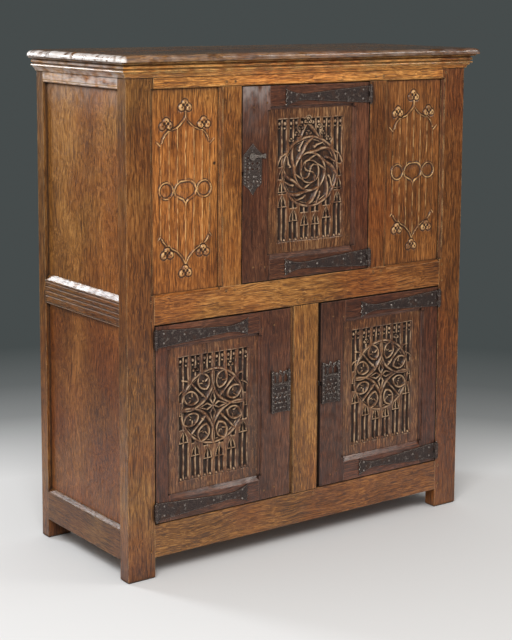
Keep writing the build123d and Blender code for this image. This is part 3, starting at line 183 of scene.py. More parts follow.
def oak(name, grain, tones, shift=(0.0, 0.0, 0.0), figure=0.03, wear=0.6, shade_and_grime=1.0, polish=0.42, stain_and_shade=None,
        knots=(), painted_sheens=(), soot=None):
    """Waxed oak with its grain along one axis; tones run from the darkest to the palest, and figure is how
    far the grain wanders. A darkening, given as an axis and two places on it, darkens the wood from the first
    to the second; it is a stain on some pieces and painted shade on others. A painted sheen, which has its
    share too, makes the wood pale. Corners and joints are darkened with painted shade and dirt, and worn
    arrises are paled with wear and a painted highlight. A carved board, which is given its soot, is dark in
    its hollows with old wax, and rubbed on its crests, where a painted highlight lies too."""
    material, shade, shader = new_material(name)
    arris_radius, corner_reach, grain_depth = 0.003, 0.016, 0.0009
    pore_tone, wax_and_shade_tone = dimmed(tones[0], 0.3), dimmed(tones[0], 0.25)
    wear_and_highlight_tone = tuple(min(1.0, part * share + 0.04) for part, share in zip(tones[3], (1.2, 1.45, 1.9)))

    place = shade.node("TexCoord", output=3)
    wood = place.stretch((1.0, 1.0, 1.0), shift).wander(4.0, figure).wander(11.0, figure * 0.3)
    boards = wood.along(grain, 0.3).noise(7, 2)
    streaks = wood.along(grain, 0.03).noise(260, 2)
    fibres = wood.along(grain, 0.05).noise(600, 3)
    lines = wood.along(grain, 0.03).noise(270, 1).between(0.57, 0.66)
    pores = wood.along(grain, 0.025).noise(1300, 2).between(0.56, 0.68)
    flecks = wood.along(grain, 0.5).noise(110, 1, 1.5).between(0.62, 0.70)
    tone = boards * 0.45 + streaks * 0.55 + fibres * 0.9 - 0.45
    colour = tone.node("ValToRGB", {"stops": list(zip((0.30, 0.44, 0.56, 0.70), tones))}, {0: tone})
    colour = (flecks * 0.3).tint(colour, tones[3])
    colour = (lines * 0.75).tint(colour, tones[0])
    colour = (pores * 0.6).tint(colour, pore_tone)
    colour = place.noise(3.2, 3).between(0.40, 0.62).tint(colour, (0.88, 0.70, 0.58), "MULTIPLY")
    colour = marks_and_painted_light(colour, place, wood, grain, wax_and_shade_tone, stain_and_shade, knots, painted_sheens)

    soft, edge = rounded(shade, arris_radius)
    # Worn arrises paled toward the rubbed tone: wear, and a painted highlight along the edges.
    rubbed = edge.between(0.01, 0.16) * place.noise(35, 3).between(0.35, 0.6)
    colour = (rubbed * wear).tint(colour, wear_and_highlight_tone)
    # Painted shade: where ambient occlusion finds corners, joints and hollows, the colour darkens toward the
    # darkest tone and the wax tone, for the shade that falls there and for the dirt.
    hidden = shade.node("AmbientOcclusion", {"samples": 8}, {"Distance": corner_reach}, 1)
    occluded = hidden.between(0.97, 0.55)
    colour = (occluded * (0.55 * shade_and_grime)).tint(colour, tones[0])
    colour = (hidden.between(0.74, 0.42) * (0.92 * shade_and_grime)).tint(colour, wax_and_shade_tone)
    if soot is not None:
        level = shade.node("Attribute", {"attribute_name": "level"}, output=2)
        crest = shade.node("Attribute", {"attribute_name": "crest"}, output=2)
        colour = (level.between(0.7, 0.05) * soot).tint(colour, wax_and_shade_tone)
        colour = (crest.between(0.48, 0.15) * 0.85).tint(colour, wax_and_shade_tone)
        # The crests paled toward the rubbed tone: rubbing, and a painted highlight on the ribs.
        rubbed = crest.between(0.56, 0.9) * place.noise(48, 3).between(0.36, 0.62)
        colour = (rubbed * 0.85).tint(colour, wear_and_highlight_tone)

    wax = place.noise(38, 4).between(0.32, 0.60) * (0.7 * polish) + 0.3 * polish
    relief = shade.node("Bump", None, {
        "Strength": 0.5, "Distance": grain_depth, "Normal": soft,
        "Height": fibres * 0.6 + streaks * 0.4 - pores * 0.4 - lines * 0.3})
    feed(shade, shader, Base_Color=colour, Roughness=streaks * 0.3 + 0.24 + pores * 0.2 + occluded * 0.35,
         Normal=relief, Coat_Weight=wax - pores * 0.3 - occluded * (1.1 - polish), Coat_Roughness=0.14)
    return material


def dress(names, material):
    """Give pieces of the frame their finish."""
    for name in names:
        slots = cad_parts[name].data.materials
        slots.clear()
        slots.append(material)


golden_tones = ((0.078, 0.026, 0.005), (0.205, 0.079, 0.014), (0.34, 0.138, 0.026), (0.54, 0.265, 0.072))
stile_oak = oak("stile_oak", "z", deeper(golden_tones, 0.68), wear=0.9, stain_and_shade=("z", 0.12, 0.0))
# Painted shade: the front right stile is darkened all through, for the light falling off to the right.
right_stile_oak = oak("right_stile_oak", "z", golden_tones, shift=(0.2, 0.7, 0.5), wear=0.9,
                      stain_and_shade=("x", 0.2, 0.5))
dress(["front_left_stile", "back_left_stile", "back_right_stile"], stile_oak)
dress(["front_right_stile"], right_stile_oak)

# The rails of the front and the back, tenoned into the stiles and pinned with pegs in the
# front, and the floor boards that lie in rebates. The oak is darkened towards the right with
# painted shade, where the light falls off, and the bottom rails and the pegs are darker than
# the rest.
level_oak = oak("level_oak", "x", deeper(golden_tones, 1.10), stain_and_shade=("x", -0.05, 0.4))
low_rail_oak = oak("low_rail_oak", "x", deeper(golden_tones, 0.82), shift=(0.3, 0.3, 0.9))
dress(["front_middle_rail", "back_middle_rail", "back_top_rail"], level_oak)
dress(["upper_floor_boards", "lower_floor_boards"], level_oak)
dress(["front_bottom_rail", "back_bottom_rail", "frame_pegs"], low_rail_oak)

# The muntins: short uprights tenoned between the rails, two beside the upper door, one
# between the lower doors, and two in the back.
# Painted shade: the right-hand muntins darken, for the light falling off to the right.
muntin_oak = oak("muntin_oak", "z", golden_tones, shift=(0.4, 0.3, 0.6), stain_and_shade=("x", 0.05, 0.22))
dress(["upper_left_muntin", "upper_right_muntin", "lower_muntin", "back_muntins"], muntin_oak)

# The side rails, tenoned into the stiles: the middle one is reeded under a sloped sill, and
# the bottom one, near the floor, has lost its wax.
side_oak = oak("side_oak", "y", deeper(golden_tones, 0.72), wear=0.5, polish=0.31)
low_side_oak = oak("low_side_oak", "y", deeper(golden_tones, 0.48), shift=(0.7, 0.4, 0.4), wear=0.7,
                   polish=0.06)
dress(["left_middle_rail", "right_middle_rail"], side_oak)
dress(["left_bottom_rail", "right_bottom_rail"], low_side_oak)

# The plain panels of the sides and the back: thin riven boards that float in the grooves of
# the frame. Their figure is lively, the lower storey is darker, and a painted sheen lies pale
# high up.
side_board_oak = oak("side_board_oak", "z", golden_tones, shift=(0.9, 0.2, 0.3), figure=0.07, polish=0.2,
                     stain_and_shade=("z", 0.95, 0.6), painted_sheens=(("z", 1.30, 1.44, 0.20),))
dress(["left_side_panels", "right_side_panels", "back_panels"], side_board_oak)


# The two fixed panels beside the upper door: oak boards carved as a sheet of folded
# parchment, with a cusped ogee at each end, three eyelets where the folds cross, and a
# small leaf at every point.
class Carving:
    """A board's front on a fine grid: u runs across from its middle, v up, and height is out of the wood."""

    def __init__(self, width, foot, head, cell):
        columns, rows = round(width / cell), round((head - foot) / cell)
        self.cell = cell
        self.across, self.up = np.meshgrid(np.linspace(-width / 2, width / 2, columns + 1),
                                           np.linspace(foot, head, rows + 1))
        # The carver's hand strays a little from the drawn line.
        stray = 0.0008
        self.u = self.across + stray * np.sin(self.up * 57 + 1.3) * np.cos(self.across * 71 + self.up * 23)
        self.v = self.up + stray * np.sin(self.across * 63 + 0.4) * np.cos(self.up * 49 - self.across * 31)
        self.height = np.zeros_like(self.u)

    def from_line(self, points):
        """How far every place on the board is from a line through the points."""
        nearest = np.full_like(self.u, 1.0)
        for (u0, v0), (u1, v1) in zip(points, points[1:]):
            du, dv = u1 - u0, v1 - v0
            length_squared = max(du * du + dv * dv, 1e-12)
            share = np.clip(((self.u - u0) * du + (self.v - v0) * dv) / length_squared, 0.0, 1.0)
            nearest = np.minimum(nearest, np.hypot(self.u - u0 - share * du, self.v - v0 - share * dv))
        return nearest

    def from_point(self, u, v):
        """How far every place on the board is from one point."""
        return np.hypot(self.u - u, self.v - v)

    def enclosed(self, top, foot):
        """The inside of an outline and the distance from it. Both halves are given on the right: top from
        the middle out, and foot back to the middle."""
        u, half = np.abs(self.u), top + foot
        above, below = np.interp(u, *zip(*top), right=-1.0), np.interp(u, *zip(*foot[::-1]), right=2.0)
        return (self.v < above) & (self.v > below), self.from_line(half + mirrored(half)[::-1])

    def leave(self, distance, half_width, height, flat=0.2):
        """Leave a rib standing, flat on top for that share of its width."""
        slope = np.clip((half_width - distance) / (half_width * (1 - flat)), 0.0, 1.0)
        self.height = np.maximum(self.height, height * slope)

    def sink(self, inside, distance, run, floor):
        """Sink the inside of a line to a floor, with a slope that takes up the run."""
        slope = np.clip(distance / run, 0.0, 1.0)
        self.height = np.where(inside, np.minimum(self.height, floor + (self.height - floor) * (1 - slope)),
                               self.height)

    def softened(self, reach):
        """The heights, each replaced by the mean of those within reach."""
        cells = 2 * round(reach / self.cell) + 1
        weights = np.hanning(cells + 2)[1:-1] / np.hanning(cells + 2).sum()
        heights = np.pad(self.height, cells // 2, mode="edge")
        for axis in (0, 1):
            heights = np.apply_along_axis(np.convolve, axis, heights, weights, mode="valid")
        return heights


def mirrored(points):
    """The same line on the board's other half."""
    return [(-u, v) for u, v in points]


def leaf(carving, u, v, size, height):
    """Three rounded lobes with a drilled eye in each crotch, as the carver ends a point."""
    lobes = ((-1.0, 0.0), (1.0, 0.0), (0.0, 1.05))
    near = np.minimum.reduce([carving.from_point(u + side * size, v + rise * size) for side, rise in lobes])
    carving.height = np.where((near > size * 0.9) & (near < size * 1.2), 0.0, carving.height)
    for side, rise in lobes:
        spot = carving.from_point(u + side * size, v + rise * size) / (size * 0.92)
        carving.height = np.maximum(carving.height, height * np.sqrt(np.clip(1 - spot ** 2, 0.0, 1.0)))
        carving.sink(spot < 0.38, 0.38 - spot, 0.3, height * 0.5)
    for eye_u, eye_v in ((-0.55, 0.55), (0.55, 0.55), (0.0, -0.05)):
        spot = carving.from_point(u + eye_u * size, v + eye_v * size)
        carving.sink(spot < size * 0.46, size * 0.46 - spot, size * 0.15, 0.0)


def finished(name, shape, material, body, smooth_angle):
    """The bmesh as an object in its place, which moves with a body."""
    bmesh.ops.recalc_face_normals(shape, faces=shape.faces)
    mesh = bpy.data.meshes.new(name)
    shape.to_mesh(mesh)
    shape.free()
    mesh.shade_smooth()
    mesh.set_sharp_from_angle(angle=math.radians(smooth_angle))
    mesh.materials.append(material)
    made = bpy.data.objects.new(name, mesh)
    bpy.context.collection.objects.link(made)
    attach(made, body)
    return made


def carved_board(node, carving, foot, deepest, crest_height, material, body):
    """The board that stands for a node: the carving on its front, cut deepest at height 0, and a plain back.
    foot is the level that the carving is measured up from."""
    low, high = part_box(node)
    crest_reach = 0.0055
    rows, columns = carving.u.shape
    board = bmesh.new()
    bmesh.ops.create_grid(board, x_segments=columns - 1, y_segments=rows - 1, size=0.5)
    level, crest = board.verts.layers.float.new("level"), board.verts.layers.float.new("crest")
    heights = np.clip(carving.height, 0.0, deepest)
    crests = np.clip(0.5 + (heights - carving.softened(crest_reach)) / crest_height, 0.0, 1.0)
    middle_x, front_y, back_y = (low[0] + high[0]) / 2, low[1], high[1]
    fields = (carving.across, carving.up, heights, crests)
    for vert, across, up, height, crested in zip(board.verts, *(field.ravel() for field in fields)):
        vert.co = (middle_x + across, front_y + deepest - height, foot + up)
        vert[level], vert[crest] = height / deepest, crested
    rim = [edge for edge in board.edges if edge.is_boundary]
    for part in bmesh.ops.extrude_edge_only(board, edges=rim)["geom"]:
        if isinstance(part, bmesh.types.BMVert):
            part.co.y = back_y
    bmesh.ops.holes_fill(board, edges=[edge for edge in board.edges if edge.is_boundary], sides=0)
    carved = finished(node + "_carved", board, material, body, 75.0)
    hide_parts(node)
    return carved


# Painted shade: the right-hand panel is darkened, for the light falling off to the right.
panel_oak = oak("panel_oak", "z", deeper(golden_tones, 1.18), shift=(0.7, 0.2, 0.1), figure=0.02, polish=0.5,
                soot=0.0, stain_and_shade=("x", -0.2, 0.3), knots=((-0.327, -0.222, 1.187), (0.542, -0.222, 1.315)))
fold_depth, fold_height, ground = 0.0062, 0.0060, 0.0012
fold_pitch, fold_hollow, rim_inset = 0.028, 0.0042, 0.0022
sheet_top = [(0.0, 0.502), (0.008, 0.488), (0.020, 0.476), (0.032, 0.468), (0.045, 0.464), (0.058, 0.461),
             (0.070, 0.450), (0.078, 0.436), (0.084, 0.418)]
sheet_foot = [(0.084, 0.160), (0.077, 0.145), (0.064, 0.131), (0.050, 0.125), (0.030, 0.114), (0.012, 0.096),
              (0.0, 0.073)]
corner_flicks = ([(0.084, 0.418), (0.090, 0.424), (0.098, 0.432)], [(0.084, 0.160), (0.090, 0.153)])
eyelet_top = [(0.0, 0.316), (0.018, 0.315), (0.030, 0.307), (0.037, 0.292)]
eyelet_foot = [(0.037, 0.292), (0.033, 0.277), (0.018, 0.268), (0.008, 0.264), (0.0, 0.254)]
eyelet_run, eyelet_floor, eyelet_swell = 0.004, 0.0006, 0.0022


def folded_sheet(parchment):
    """A row of folds that sinks at the sides, with a raised rim round each end and a flick at each corner."""
    side_drop, side_start, side_run = 0.0018, 0.070, 0.012
    head_from, foot_to = 0.425, 0.155
    inside, edge = parchment.enclosed(sheet_top, sheet_foot)
    folds = fold_height - fold_hollow * np.abs(np.sin(np.pi * parchment.u / fold_pitch)) ** 0.5
    folds -= side_drop * np.clip((np.abs(parchment.u) - side_start) / side_run, 0.0, 1.0)
    rise = np.clip(edge / rim_inset, 0.0, 1.0)
    parchment.height = np.where(inside, ground + (folds - ground) * rise, ground)
    ends = inside & ((parchment.v > head_from) | (parchment.v < foot_to))
    parchment.leave(np.where(ends, np.abs(edge - rim_inset), 1.0), 0.0026, fold_height, 0.3)
    parchment.height -= np.where(inside, 0.0, ground * np.exp(-(edge / 0.003) ** 2))
    for flick in corner_flicks:
        for line in (flick, mirrored(flick)):
            parchment.leave(parchment.from_line(line), 0.0028, 0.004)


def eyelets(parchment):
    """A round eyelet on each side, and a cusped one between them with a point below; each swells inside."""
    ring_radius, hollow_radius, swell_radius = 0.0235, 0.0225, 0.018
    for eye_u in (-0.065, 0.063):
        spot = parchment.from_point(eye_u, 0.291)
        parchment.leave(np.abs(spot - ring_radius), 0.0030, fold_height)
        parchment.sink(spot < hollow_radius, hollow_radius - spot, eyelet_run, eyelet_floor)
        swell = eyelet_swell * (1 - (spot / swell_radius) ** 2)
        parchment.height += np.where(spot < swell_radius, swell, 0.0)
    inside, edge = parchment.enclosed(eyelet_top, eyelet_foot)
    parchment.leave(np.abs(edge - 0.0012), 0.0028, fold_height)
    parchment.sink(inside, edge, eyelet_run, eyelet_floor)
    parchment.height += np.where(inside, eyelet_swell * np.clip(edge / 0.016 - 0.25, 0.0, 1.0), 0.0)
    parchment.leave(parchment.from_line([(0.0, 0.256), (0.0, 0.240)]), 0.0030, fold_height)


def sprigs(parchment):
    """A leaf at each point of the sheet, the three at the top on stems."""
    leaf_size, side_stem = 0.0116, [(0.050, 0.462), (0.062, 0.474)]
    for stem in ([(0.0, 0.500), (0.0, 0.520)], side_stem, mirrored(side_stem)):
        parchment.leave(parchment.from_line(stem), 0.0034, fold_height)
    for middle_v, side_u, side_v in ((0.524, 0.064, 0.474), (0.052, 0.061, 0.108)):
        for leaf_u, leaf_v in ((0.0, middle_v), (-side_u, side_v), (side_u, side_v)):
            leaf(parchment, leaf_u, leaf_v, leaf_size, fold_height)


opening_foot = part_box("front_middle_rail")[1][2]
for node in ("left_parchment_panel", "right_parchment_panel"):
    low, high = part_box(node)
    parchment = Carving(high[0] - low[0], low[2] - opening_foot, high[2] - opening_foot, cell=0.0016)
    folded_sheet(parchment)
    eyelets(parchment)
    sprigs(parchment)
    folded = carved_board(node, parchment, opening_foot, fold_depth, crest_height=0.0022,
                          material=panel_oak, body="carcase")

# The top rails and the cornice: a moulding with two beads over a cove, which runs round
# three sides and is mitred at the corners. This oak is painted lighter than the rest, with
# less painted shade in its hollows, for the light that catches it; it is well rubbed on
# every arris, and at the left end it is white with a painted sheen.
lit_cornice_oak = oak("lit_cornice_oak", "x", deeper(golden_tones, 1.75), shift=(0.6, 0.1, 0.2), wear=0.9, shade_and_grime=0.55)
sheened_side_top_oak = oak("sheened_side_top_oak", "y", deeper(golden_tones, 1.2), shift=(0.1, 0.9, 0.4), wear=1.0, shade_and_grime=0.5,
                   polish=0.3, painted_sheens=(("x", -0.55, -0.57, 0.55),))
dress(["front_cornice", "front_top_rail"], lit_cornice_oak)
dress(["left_cornice", "right_cornice", "left_top_rail", "right_top_rail"], sheened_side_top_oak)

# The doors' frames: the same joinery in darker, redder oak, which smoke and wax have
# stained more than the carcase. The upper door's lock stile is dimmest, with a painted
# sheen at its head.
doors = ("upper_door", "lower_left_door", "lower_right_door")
door_tones = ((0.030, 0.008, 0.003), (0.074, 0.022, 0.008), (0.118, 0.038, 0.014), (0.21, 0.080, 0.034))
door_upright_oak = oak("door_upright_oak", "z", door_tones, shift=(0.31, 0.12, 0.4), polish=0.5)
door_level_oak = oak("door_level_oak", "x", door_tones, shift=(0.11, 0.52, 0.2), polish=0.6, wear=0.9)
upper_stile_oak = oak("upper_stile_oak", "z", deeper(door_tones, 0.86), shift=(0.61, 0.42, 0.7), polish=0.6,
                      painted_sheens=(("z", 1.335, 1.395, 0.22), ("z", 1.20, 1.40, 0.09)))
for door in doors:
    dress([door + "_hinge_stile", door + "_lock_stile"], door_upright_oak)
    dress([door + "_top_rail", door + "_bottom_rail"], door_level_oak)
dress(["upper_door_lock_stile"], upper_stile_oak)

# The doors' panels: each one board, sunk inside a plain margin and cut into blind
# tracery, with rows of narrow lights, pointed heads and a rose in a ring. Wax and soot
# lie in the hollows, and the ribs are rubbed clean and carry a painted highlight.
carving_tones = ((0.040, 0.014, 0.006), (0.100, 0.036, 0.012), (0.160, 0.060, 0.020), (0.40, 0.21, 0.085))
carving_oak = oak("carving_oak", "z", carving_tones, shift=(0.2, 0.6, 0.9), polish=0.6, soot=0.6)
margin_height, field_half, field_height = 0.039, 0.126, 0.367
light_pitch, lights = 0.021, 12
tracery_depth, proud_height, rib_height, inner_height = 0.0092, 0.0090, 0.0088, 0.0086
fine_height, bead_height, cusp_height, bar_height = 0.0084, 0.0082, 0.0076, 0.0072


def pointed_head(carving, middle, spring, half, rise):
    """Solid wood round a pointed opening, with a stem up its middle, a sill under it and a bud on top."""
    across, up = np.abs(carving.u - middle), (carving.v - spring) / rise
    opening = half * (1 - np.clip(up, 0.0, 1.0) ** 1.6)
    near = (across < half + 0.0040) & (up > -0.02) & (up < 1.08)
    carving.height = np.where(near, np.maximum(carving.height, bar_height), carving.height)
    carving.sink((across < opening) & (up >= 0), opening - across, 0.0026, 0.0)
    carving.leave(carving.from_line([(middle, spring), (middle, spring + rise)]), 0.0040, bead_height)
    for side in (-1, 1):
        rib = [(middle + side * half, spring), (middle + side * half * 0.82, spring + rise * 0.45),
               (middle, spring + rise * 1.04)]
        carving.leave(carving.from_line(rib), 0.0034, rib_height)
    sill = [(middle - half - 0.002, spring), (middle + half + 0.002, spring)]
    carving.leave(carving.from_line(sill), 0.0034, proud_height)
    carving.leave(carving.from_point(middle, spring + rise * 1.05), 0.0066, proud_height, 0.4)


def rows_of_lights(carving, capitals, side_capitals):
    """The sunk field and its narrow lights, in pairs between broad mullions, with buds along the top, and
    under the rose a pointed head over each pair."""
    bevel_run, bud_level, neck_level, base_level = 0.0035, 0.353, 0.339, 0.004
    inset = np.minimum(field_half - np.abs(carving.u), np.minimum(carving.v, field_height - carving.v))
    carving.height = tracery_depth * np.clip(1 - inset / bevel_run, 0.0, 1.0)
    in_field = inset > 0
    from_mullion = np.abs((carving.u + light_pitch) % (2 * light_pitch) - light_pitch)
    from_stem = light_pitch - from_mullion
    carving.leave(np.where(in_field, from_mullion, 1.0), 0.0092, bar_height, 0.55)
    carving.leave(np.where(in_field, from_mullion, 1.0), 0.0030, bead_height, 0.2)
    carving.leave(np.where(in_field, from_stem, 1.0), 0.0056, bar_height, 0.2)
    carving.leave(np.where(in_field, carving.v, 1.0), 0.0085, 0.0060, 0.5)
    for light in range(lights):
        middle = (light - (lights - 1) / 2) * light_pitch
        carving.leave(carving.from_point(middle, bud_level), 0.0082, proud_height, 0.35)
        carving.leave(carving.from_point(middle, neck_level), 0.0046, 0.0070, 0.3)
        carving.leave(carving.from_point(middle, base_level), 0.0072, rib_height, 0.3)
    outer_bay = len(capitals) - 1
    for side in (-1, 1):
        for bay, capital in enumerate(capitals):
            middle = side * (2 * bay + 1) * light_pitch
            for level in (capital, *side_capitals) if bay == outer_bay else (capital,):
                pointed_head(carving, middle, level, half=0.0135, rise=0.036)


def turned(centre, *places):
    """Points given as radius and angle in degrees round a centre."""
    return [(centre[0] + radius * math.cos(math.radians(angle)),
             centre[1] + radius * math.sin(math.radians(angle))) for radius, angle in places]


def open_ring(carving, centre, radius):
    """Clear the wood inside a ring and leave the ring itself standing, with a fillet inside it."""
    out = carving.from_point(*centre)
    carving.height = np.where(out < radius, 0.0, carving.height)
    carving.leave(np.abs(out - radius), 0.0076, 0.0089, 0.2)
    carving.leave(np.abs(out - radius + 0.0080), 0.0034, 0.0050)
    return out


def almond(carving, centre, out, angle, half_width, half_length):
    """A pointed eye that stands on a spoke, with a cusp from each side and a bud in the middle."""
    (u, v), lean = turned(centre, (out, angle))[0], math.radians(angle)
    along = (carving.u - u) * math.cos(lean) + (carving.v - v) * math.sin(lean)
    aside = (carving.v - v) * math.cos(lean) - (carving.u - u) * math.sin(lean)
    arc = (half_width ** 2 + half_length ** 2) / (2 * half_width)
    from_arcs = [np.hypot(along, aside - arc + half_width), np.hypot(along, aside + arc - half_width)]
    from_rim = np.maximum(*from_arcs) - arc
    carving.height = np.where(from_rim < 0, 0.0, carving.height)
    carving.leave(np.abs(from_rim), 0.0062, inner_height, 0.15)
    for side in (-1, 1):
        cusp = turned(centre, (out + 0.004, angle + side * 11.0), (out - 0.003, angle + side * 4.5))
        carving.leave(carving.from_line(cusp), 0.0034, cusp_height)
    carving.leave(carving.from_point(u, v), 0.0042, 0.0052)


def star_rose(carving, centre, radius):
    """A star with four hollow-sided arms, eight almond eyes round it, and a small light in each arm."""
    almond_out, boss_out, hollow_out, hollow_radius = 0.083, 0.050, 0.1245, 0.091
    out = open_ring(carving, centre, radius)
    inside = out < radius
    for spoke in range(8):
        almond(carving, centre, almond_out, 22.5 + 45 * spoke, half_width=0.0185, half_length=0.0265)
    for arm in (0, 90, 180, 270):
        corner = 45 + arm
        hollow = carving.from_point(*turned(centre, (hollow_out, corner))[0])
        carving.leave(np.where(inside, np.abs(hollow - hollow_radius), 1.0), 0.0078, proud_height)
        ridge = turned(centre, (0.034, corner), (radius, corner))
        carving.leave(carving.from_line(ridge), 0.0056, fine_height)
        boss = carving.from_point(*turned(centre, (boss_out, corner))[0])
        carving.leave(boss, 0.0080, proud_height, 0.3)
        for lean in (-24, 24):
            light = turned(centre, (0.004, arm), (0.022, arm + lean), (0.048, arm))
            carving.leave(carving.from_line(light), 0.0048, fine_height)
    carving.leave(out, 0.0070, proud_height, 0.4)


def whirl(carving, centre, blade, first, step, half_width, height):
    """The same blade or cusp, given as radius and angle, turned round the centre step by step."""
    for turn in range(first, first + 360, step):
        line = turned(centre, *((radius, angle + turn) for radius, angle in blade))
        carving.leave(carving.from_line(line), half_width, height)


def whirling_rose(carving, centre, radius):
    """Eight blades that sweep in from the ring to a smaller one, six in that, and four at the heart."""
    out = open_ring(carving, centre, radius)
    inner_ring, heart_ring = 0.057, 0.034
    outer_blade = ((0.104, 0), (0.097, 5), (0.089, 12), (0.080, 19), (0.070, 26), (0.062, 36),
                   (inner_ring, 52))
    cusp = ((0.101, 21), (0.092, 26), (0.083, 34), (0.074, 38))
    inner_blade = ((inner_ring, 0), (0.049, 8), (0.041, 19), (heart_ring, 36))
    heart_blade = ((heart_ring, 0), (0.025, 24), (0.015, 40), (0.006, 44))
    whirl(carving, centre, outer_blade, 83, 45, 0.0082, proud_height)
    whirl(carving, centre, cusp, 83, 45, 0.0056, cusp_height)
    for turn in range(83, 443, 45):
        carving.leave(carving.from_point(*turned(centre, (0.076, 38 + turn))[0]), 0.0062, bead_height, 0.3)
    carving.leave(np.abs(out - inner_ring), 0.0062, rib_height)
    whirl(carving, centre, inner_blade, 4, 60, 0.0052, inner_height)
    carving.leave(np.abs(out - heart_ring), 0.0044, inner_height)
    whirl(carving, centre, heart_blade, 30, 90, 0.0042, fine_height)
    carving.leave(out, 0.0066, rib_height, 0.4)


def gable(carving, apex_lean):
    """The ogee over the upper rose, with crockets up its back, a finial, and a haunch on each side."""
    arm = [(0.092, 0.262), (0.078, 0.279), (0.060, 0.290), (0.044, 0.300), (0.031, 0.313), (0.020, 0.329),
           (0.010, 0.343), (0.0, 0.354)]
    haunch = [(0.094, 0.262), (0.108, 0.256), (0.118, 0.242), (0.126, 0.222)]
    crockets = ((0.070, 0.300), (0.050, 0.318), (0.034, 0.338))
    under = np.interp(np.abs(carving.u), *zip(*arm[::-1]), right=0.0)
    carving.height = np.where((carving.v < under) & (carving.v > 0.20), 0.0, carving.height)
    for side in (-1, 1):
        leaning = [(side * u + apex_lean * max(0.0, (v - 0.29) / 0.06), v) for u, v in arm]
        carving.leave(carving.from_line(leaning), 0.0074, proud_height)
        carving.leave(carving.from_line([(side * u, v) for u, v in haunch]), 0.0060, rib_height)
        for u, v in crockets:
            leaf(carving, side * u, v, 0.0052, rib_height)
    leaf(carving, apex_lean * 0.5, 0.320, 0.0062, cusp_height)
    leaf(carving, apex_lean, 0.356, 0.0075, proud_height)


def shoulders(carving, centre, radius):
    """Outside a star rose: a flick with a bud on each side of the ring, a brace under it and a leaf above."""
    for side in (-1, 1):
        flick = turned(centre, (radius, 90 + side * 46), (0.122, 90 + side * 47), (0.136, 90 + side * 50))
        brace = [(side * -0.126, 0.252), (side * -0.114, 0.262), (side * -0.100, 0.268)]
        carving.leave(carving.from_line(flick), 0.0048, rib_height)
        carving.leave(carving.from_point(*flick[-1]), 0.0062, proud_height, 0.5)
        carving.leave(carving.from_line(brace), 0.0040, fine_height)
        leaf(carving, side * 0.062, 0.322, 0.0060, rib_height)


# For each door: its rose's centre and radius, the springing levels of the pointed heads
# from the middle bay outwards, and those of the further heads beside the rose.
roses = {"upper_door": ((0.0, 0.206), 0.104, (0.046, 0.062, 0.106), (0.150, 0.187)),
         "lower_left_door": ((-0.002, 0.208), 0.110, (0.054, 0.069, 0.112), (0.193,)),
         "lower_right_door": ((0.0, 0.208), 0.110, (0.069, 0.088, 0.132), (0.196,))}
for door, (centre, radius, capitals, side_capitals) in roses.items():
    low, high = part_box(door + "_panel")
    field_foot = low[2] + margin_height
    tracery = Carving(high[0] - low[0], low[2] - field_foot, high[2] - field_foot, cell=0.0014)
    rows_of_lights(tracery, capitals, side_capitals)
    if door == "upper_door":
        gable(tracery, apex_lean=-0.008)
        whirling_rose(tracery, centre, radius)
    else:
        shoulders(tracery, centre, radius)
        star_rose(tracery, centre, radius)
    board = carved_board(door + "_panel", tracery, field_foot, tracery_depth, crest_height=0.004,
                         material=carving_oak, body=door)


# The ironwork: straps, hinge leaves and pins, lock plates, bolts and the latch, forged by
# hand, blackened with oil in the fire, and rubbed bright on their raised edges.
def forged_iron(name, rubbed=0.0):
    """Hammered iron, bright on its edges; rubbed is how far the rest of it is polished too."""
    material, shade, shader = new_material(name)
    edge_radius, blow_depth = 0.0026, 0.0014
    place = shade.node("TexCoord", output=3)
    blows = place.noise(95, 2)
    scale = place.noise(650, 4)
    rust = place.noise(38, 4).between(0.5, 0.68)
    soft, edge = rounded(shade, edge_radius)
    bright = (edge.between(0.02, 0.2) + blows.between(0.58, 0.72) * 0.35 + rubbed) * scale.between(0.35, 0.6)
    colour = scale.between(0.35, 0.65).tint((0.014, 0.009, 0.009), (0.078, 0.052, 0.045))
    colour = (rust * 0.5).tint(colour, (0.085, 0.038, 0.022))
    colour = (bright * 0.85).tint(colour, (0.62, 0.56, 0.50))
    relief = shade.node("Bump", None, {"Strength": 0.8, "Distance": blow_depth, "Normal": soft,
                                       "Height": blows * 0.8 + scale * 0.2})
    feed(shade, shader, Base_Color=colour, Roughness=0.48 - bright * 0.25 + rust * 0.15,
         Metallic=bright * 0.4 + 0.4, Normal=relief)
    return material


black_iron = forged_iron("forged_iron")
bright_iron = forged_iron("rubbed_iron", rubbed=0.55)
plate_iron = forged_iron("plate_iron", rubbed=0.07)
dress(["hinge_leaves", "hinge_pins", "upper_door_latch_tongue"], black_iron)
for door in doors:
    dress([door + "_straps", door + "_lock_plate", door + "_bolt"], black_iron)
dress(["upper_door_lock_plate"], plate_iron)
dress(["upper_door_latch_lever"], bright_iron)


# The straps' nails: rose heads, hammered to facets as they are driven and clenched, from
# the hinge to the scalloped tail.
def driven_head(shape, x, face_y, z, radius, proud):
    """A faceted head on the front face of the work, bedded a little into it."""
    bedded = 0.001
    facing = Matrix.Rotation(math.radians(90), 4, "X")
    seat = Matrix.Translation((x, face_y - proud / 2 + bedded / 2, z)) @ facing
    made = bmesh.ops.create_cone(shape, cap_ends=True, segments=8, radius1=radius, radius2=radius * 0.55,
                                 depth=proud + bedded, matrix=seat)
    rim = {edge for vert in made["verts"] for edge in vert.link_edges if vert.co.y < face_y - proud * 0.6}
    bmesh.ops.bevel(shape, geom=list(rim), offset=radius * 0.22, offset_type="OFFSET", affect="EDGES",
                    segments=1, profile=0.5, material=-1)


front_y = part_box("front_middle_rail")[0][1]
strap_thickness, strap_reach, strap_half_height = 0.003, 0.323, 0.0255
nail_radius, nail_proud = 0.0042, 0.0022
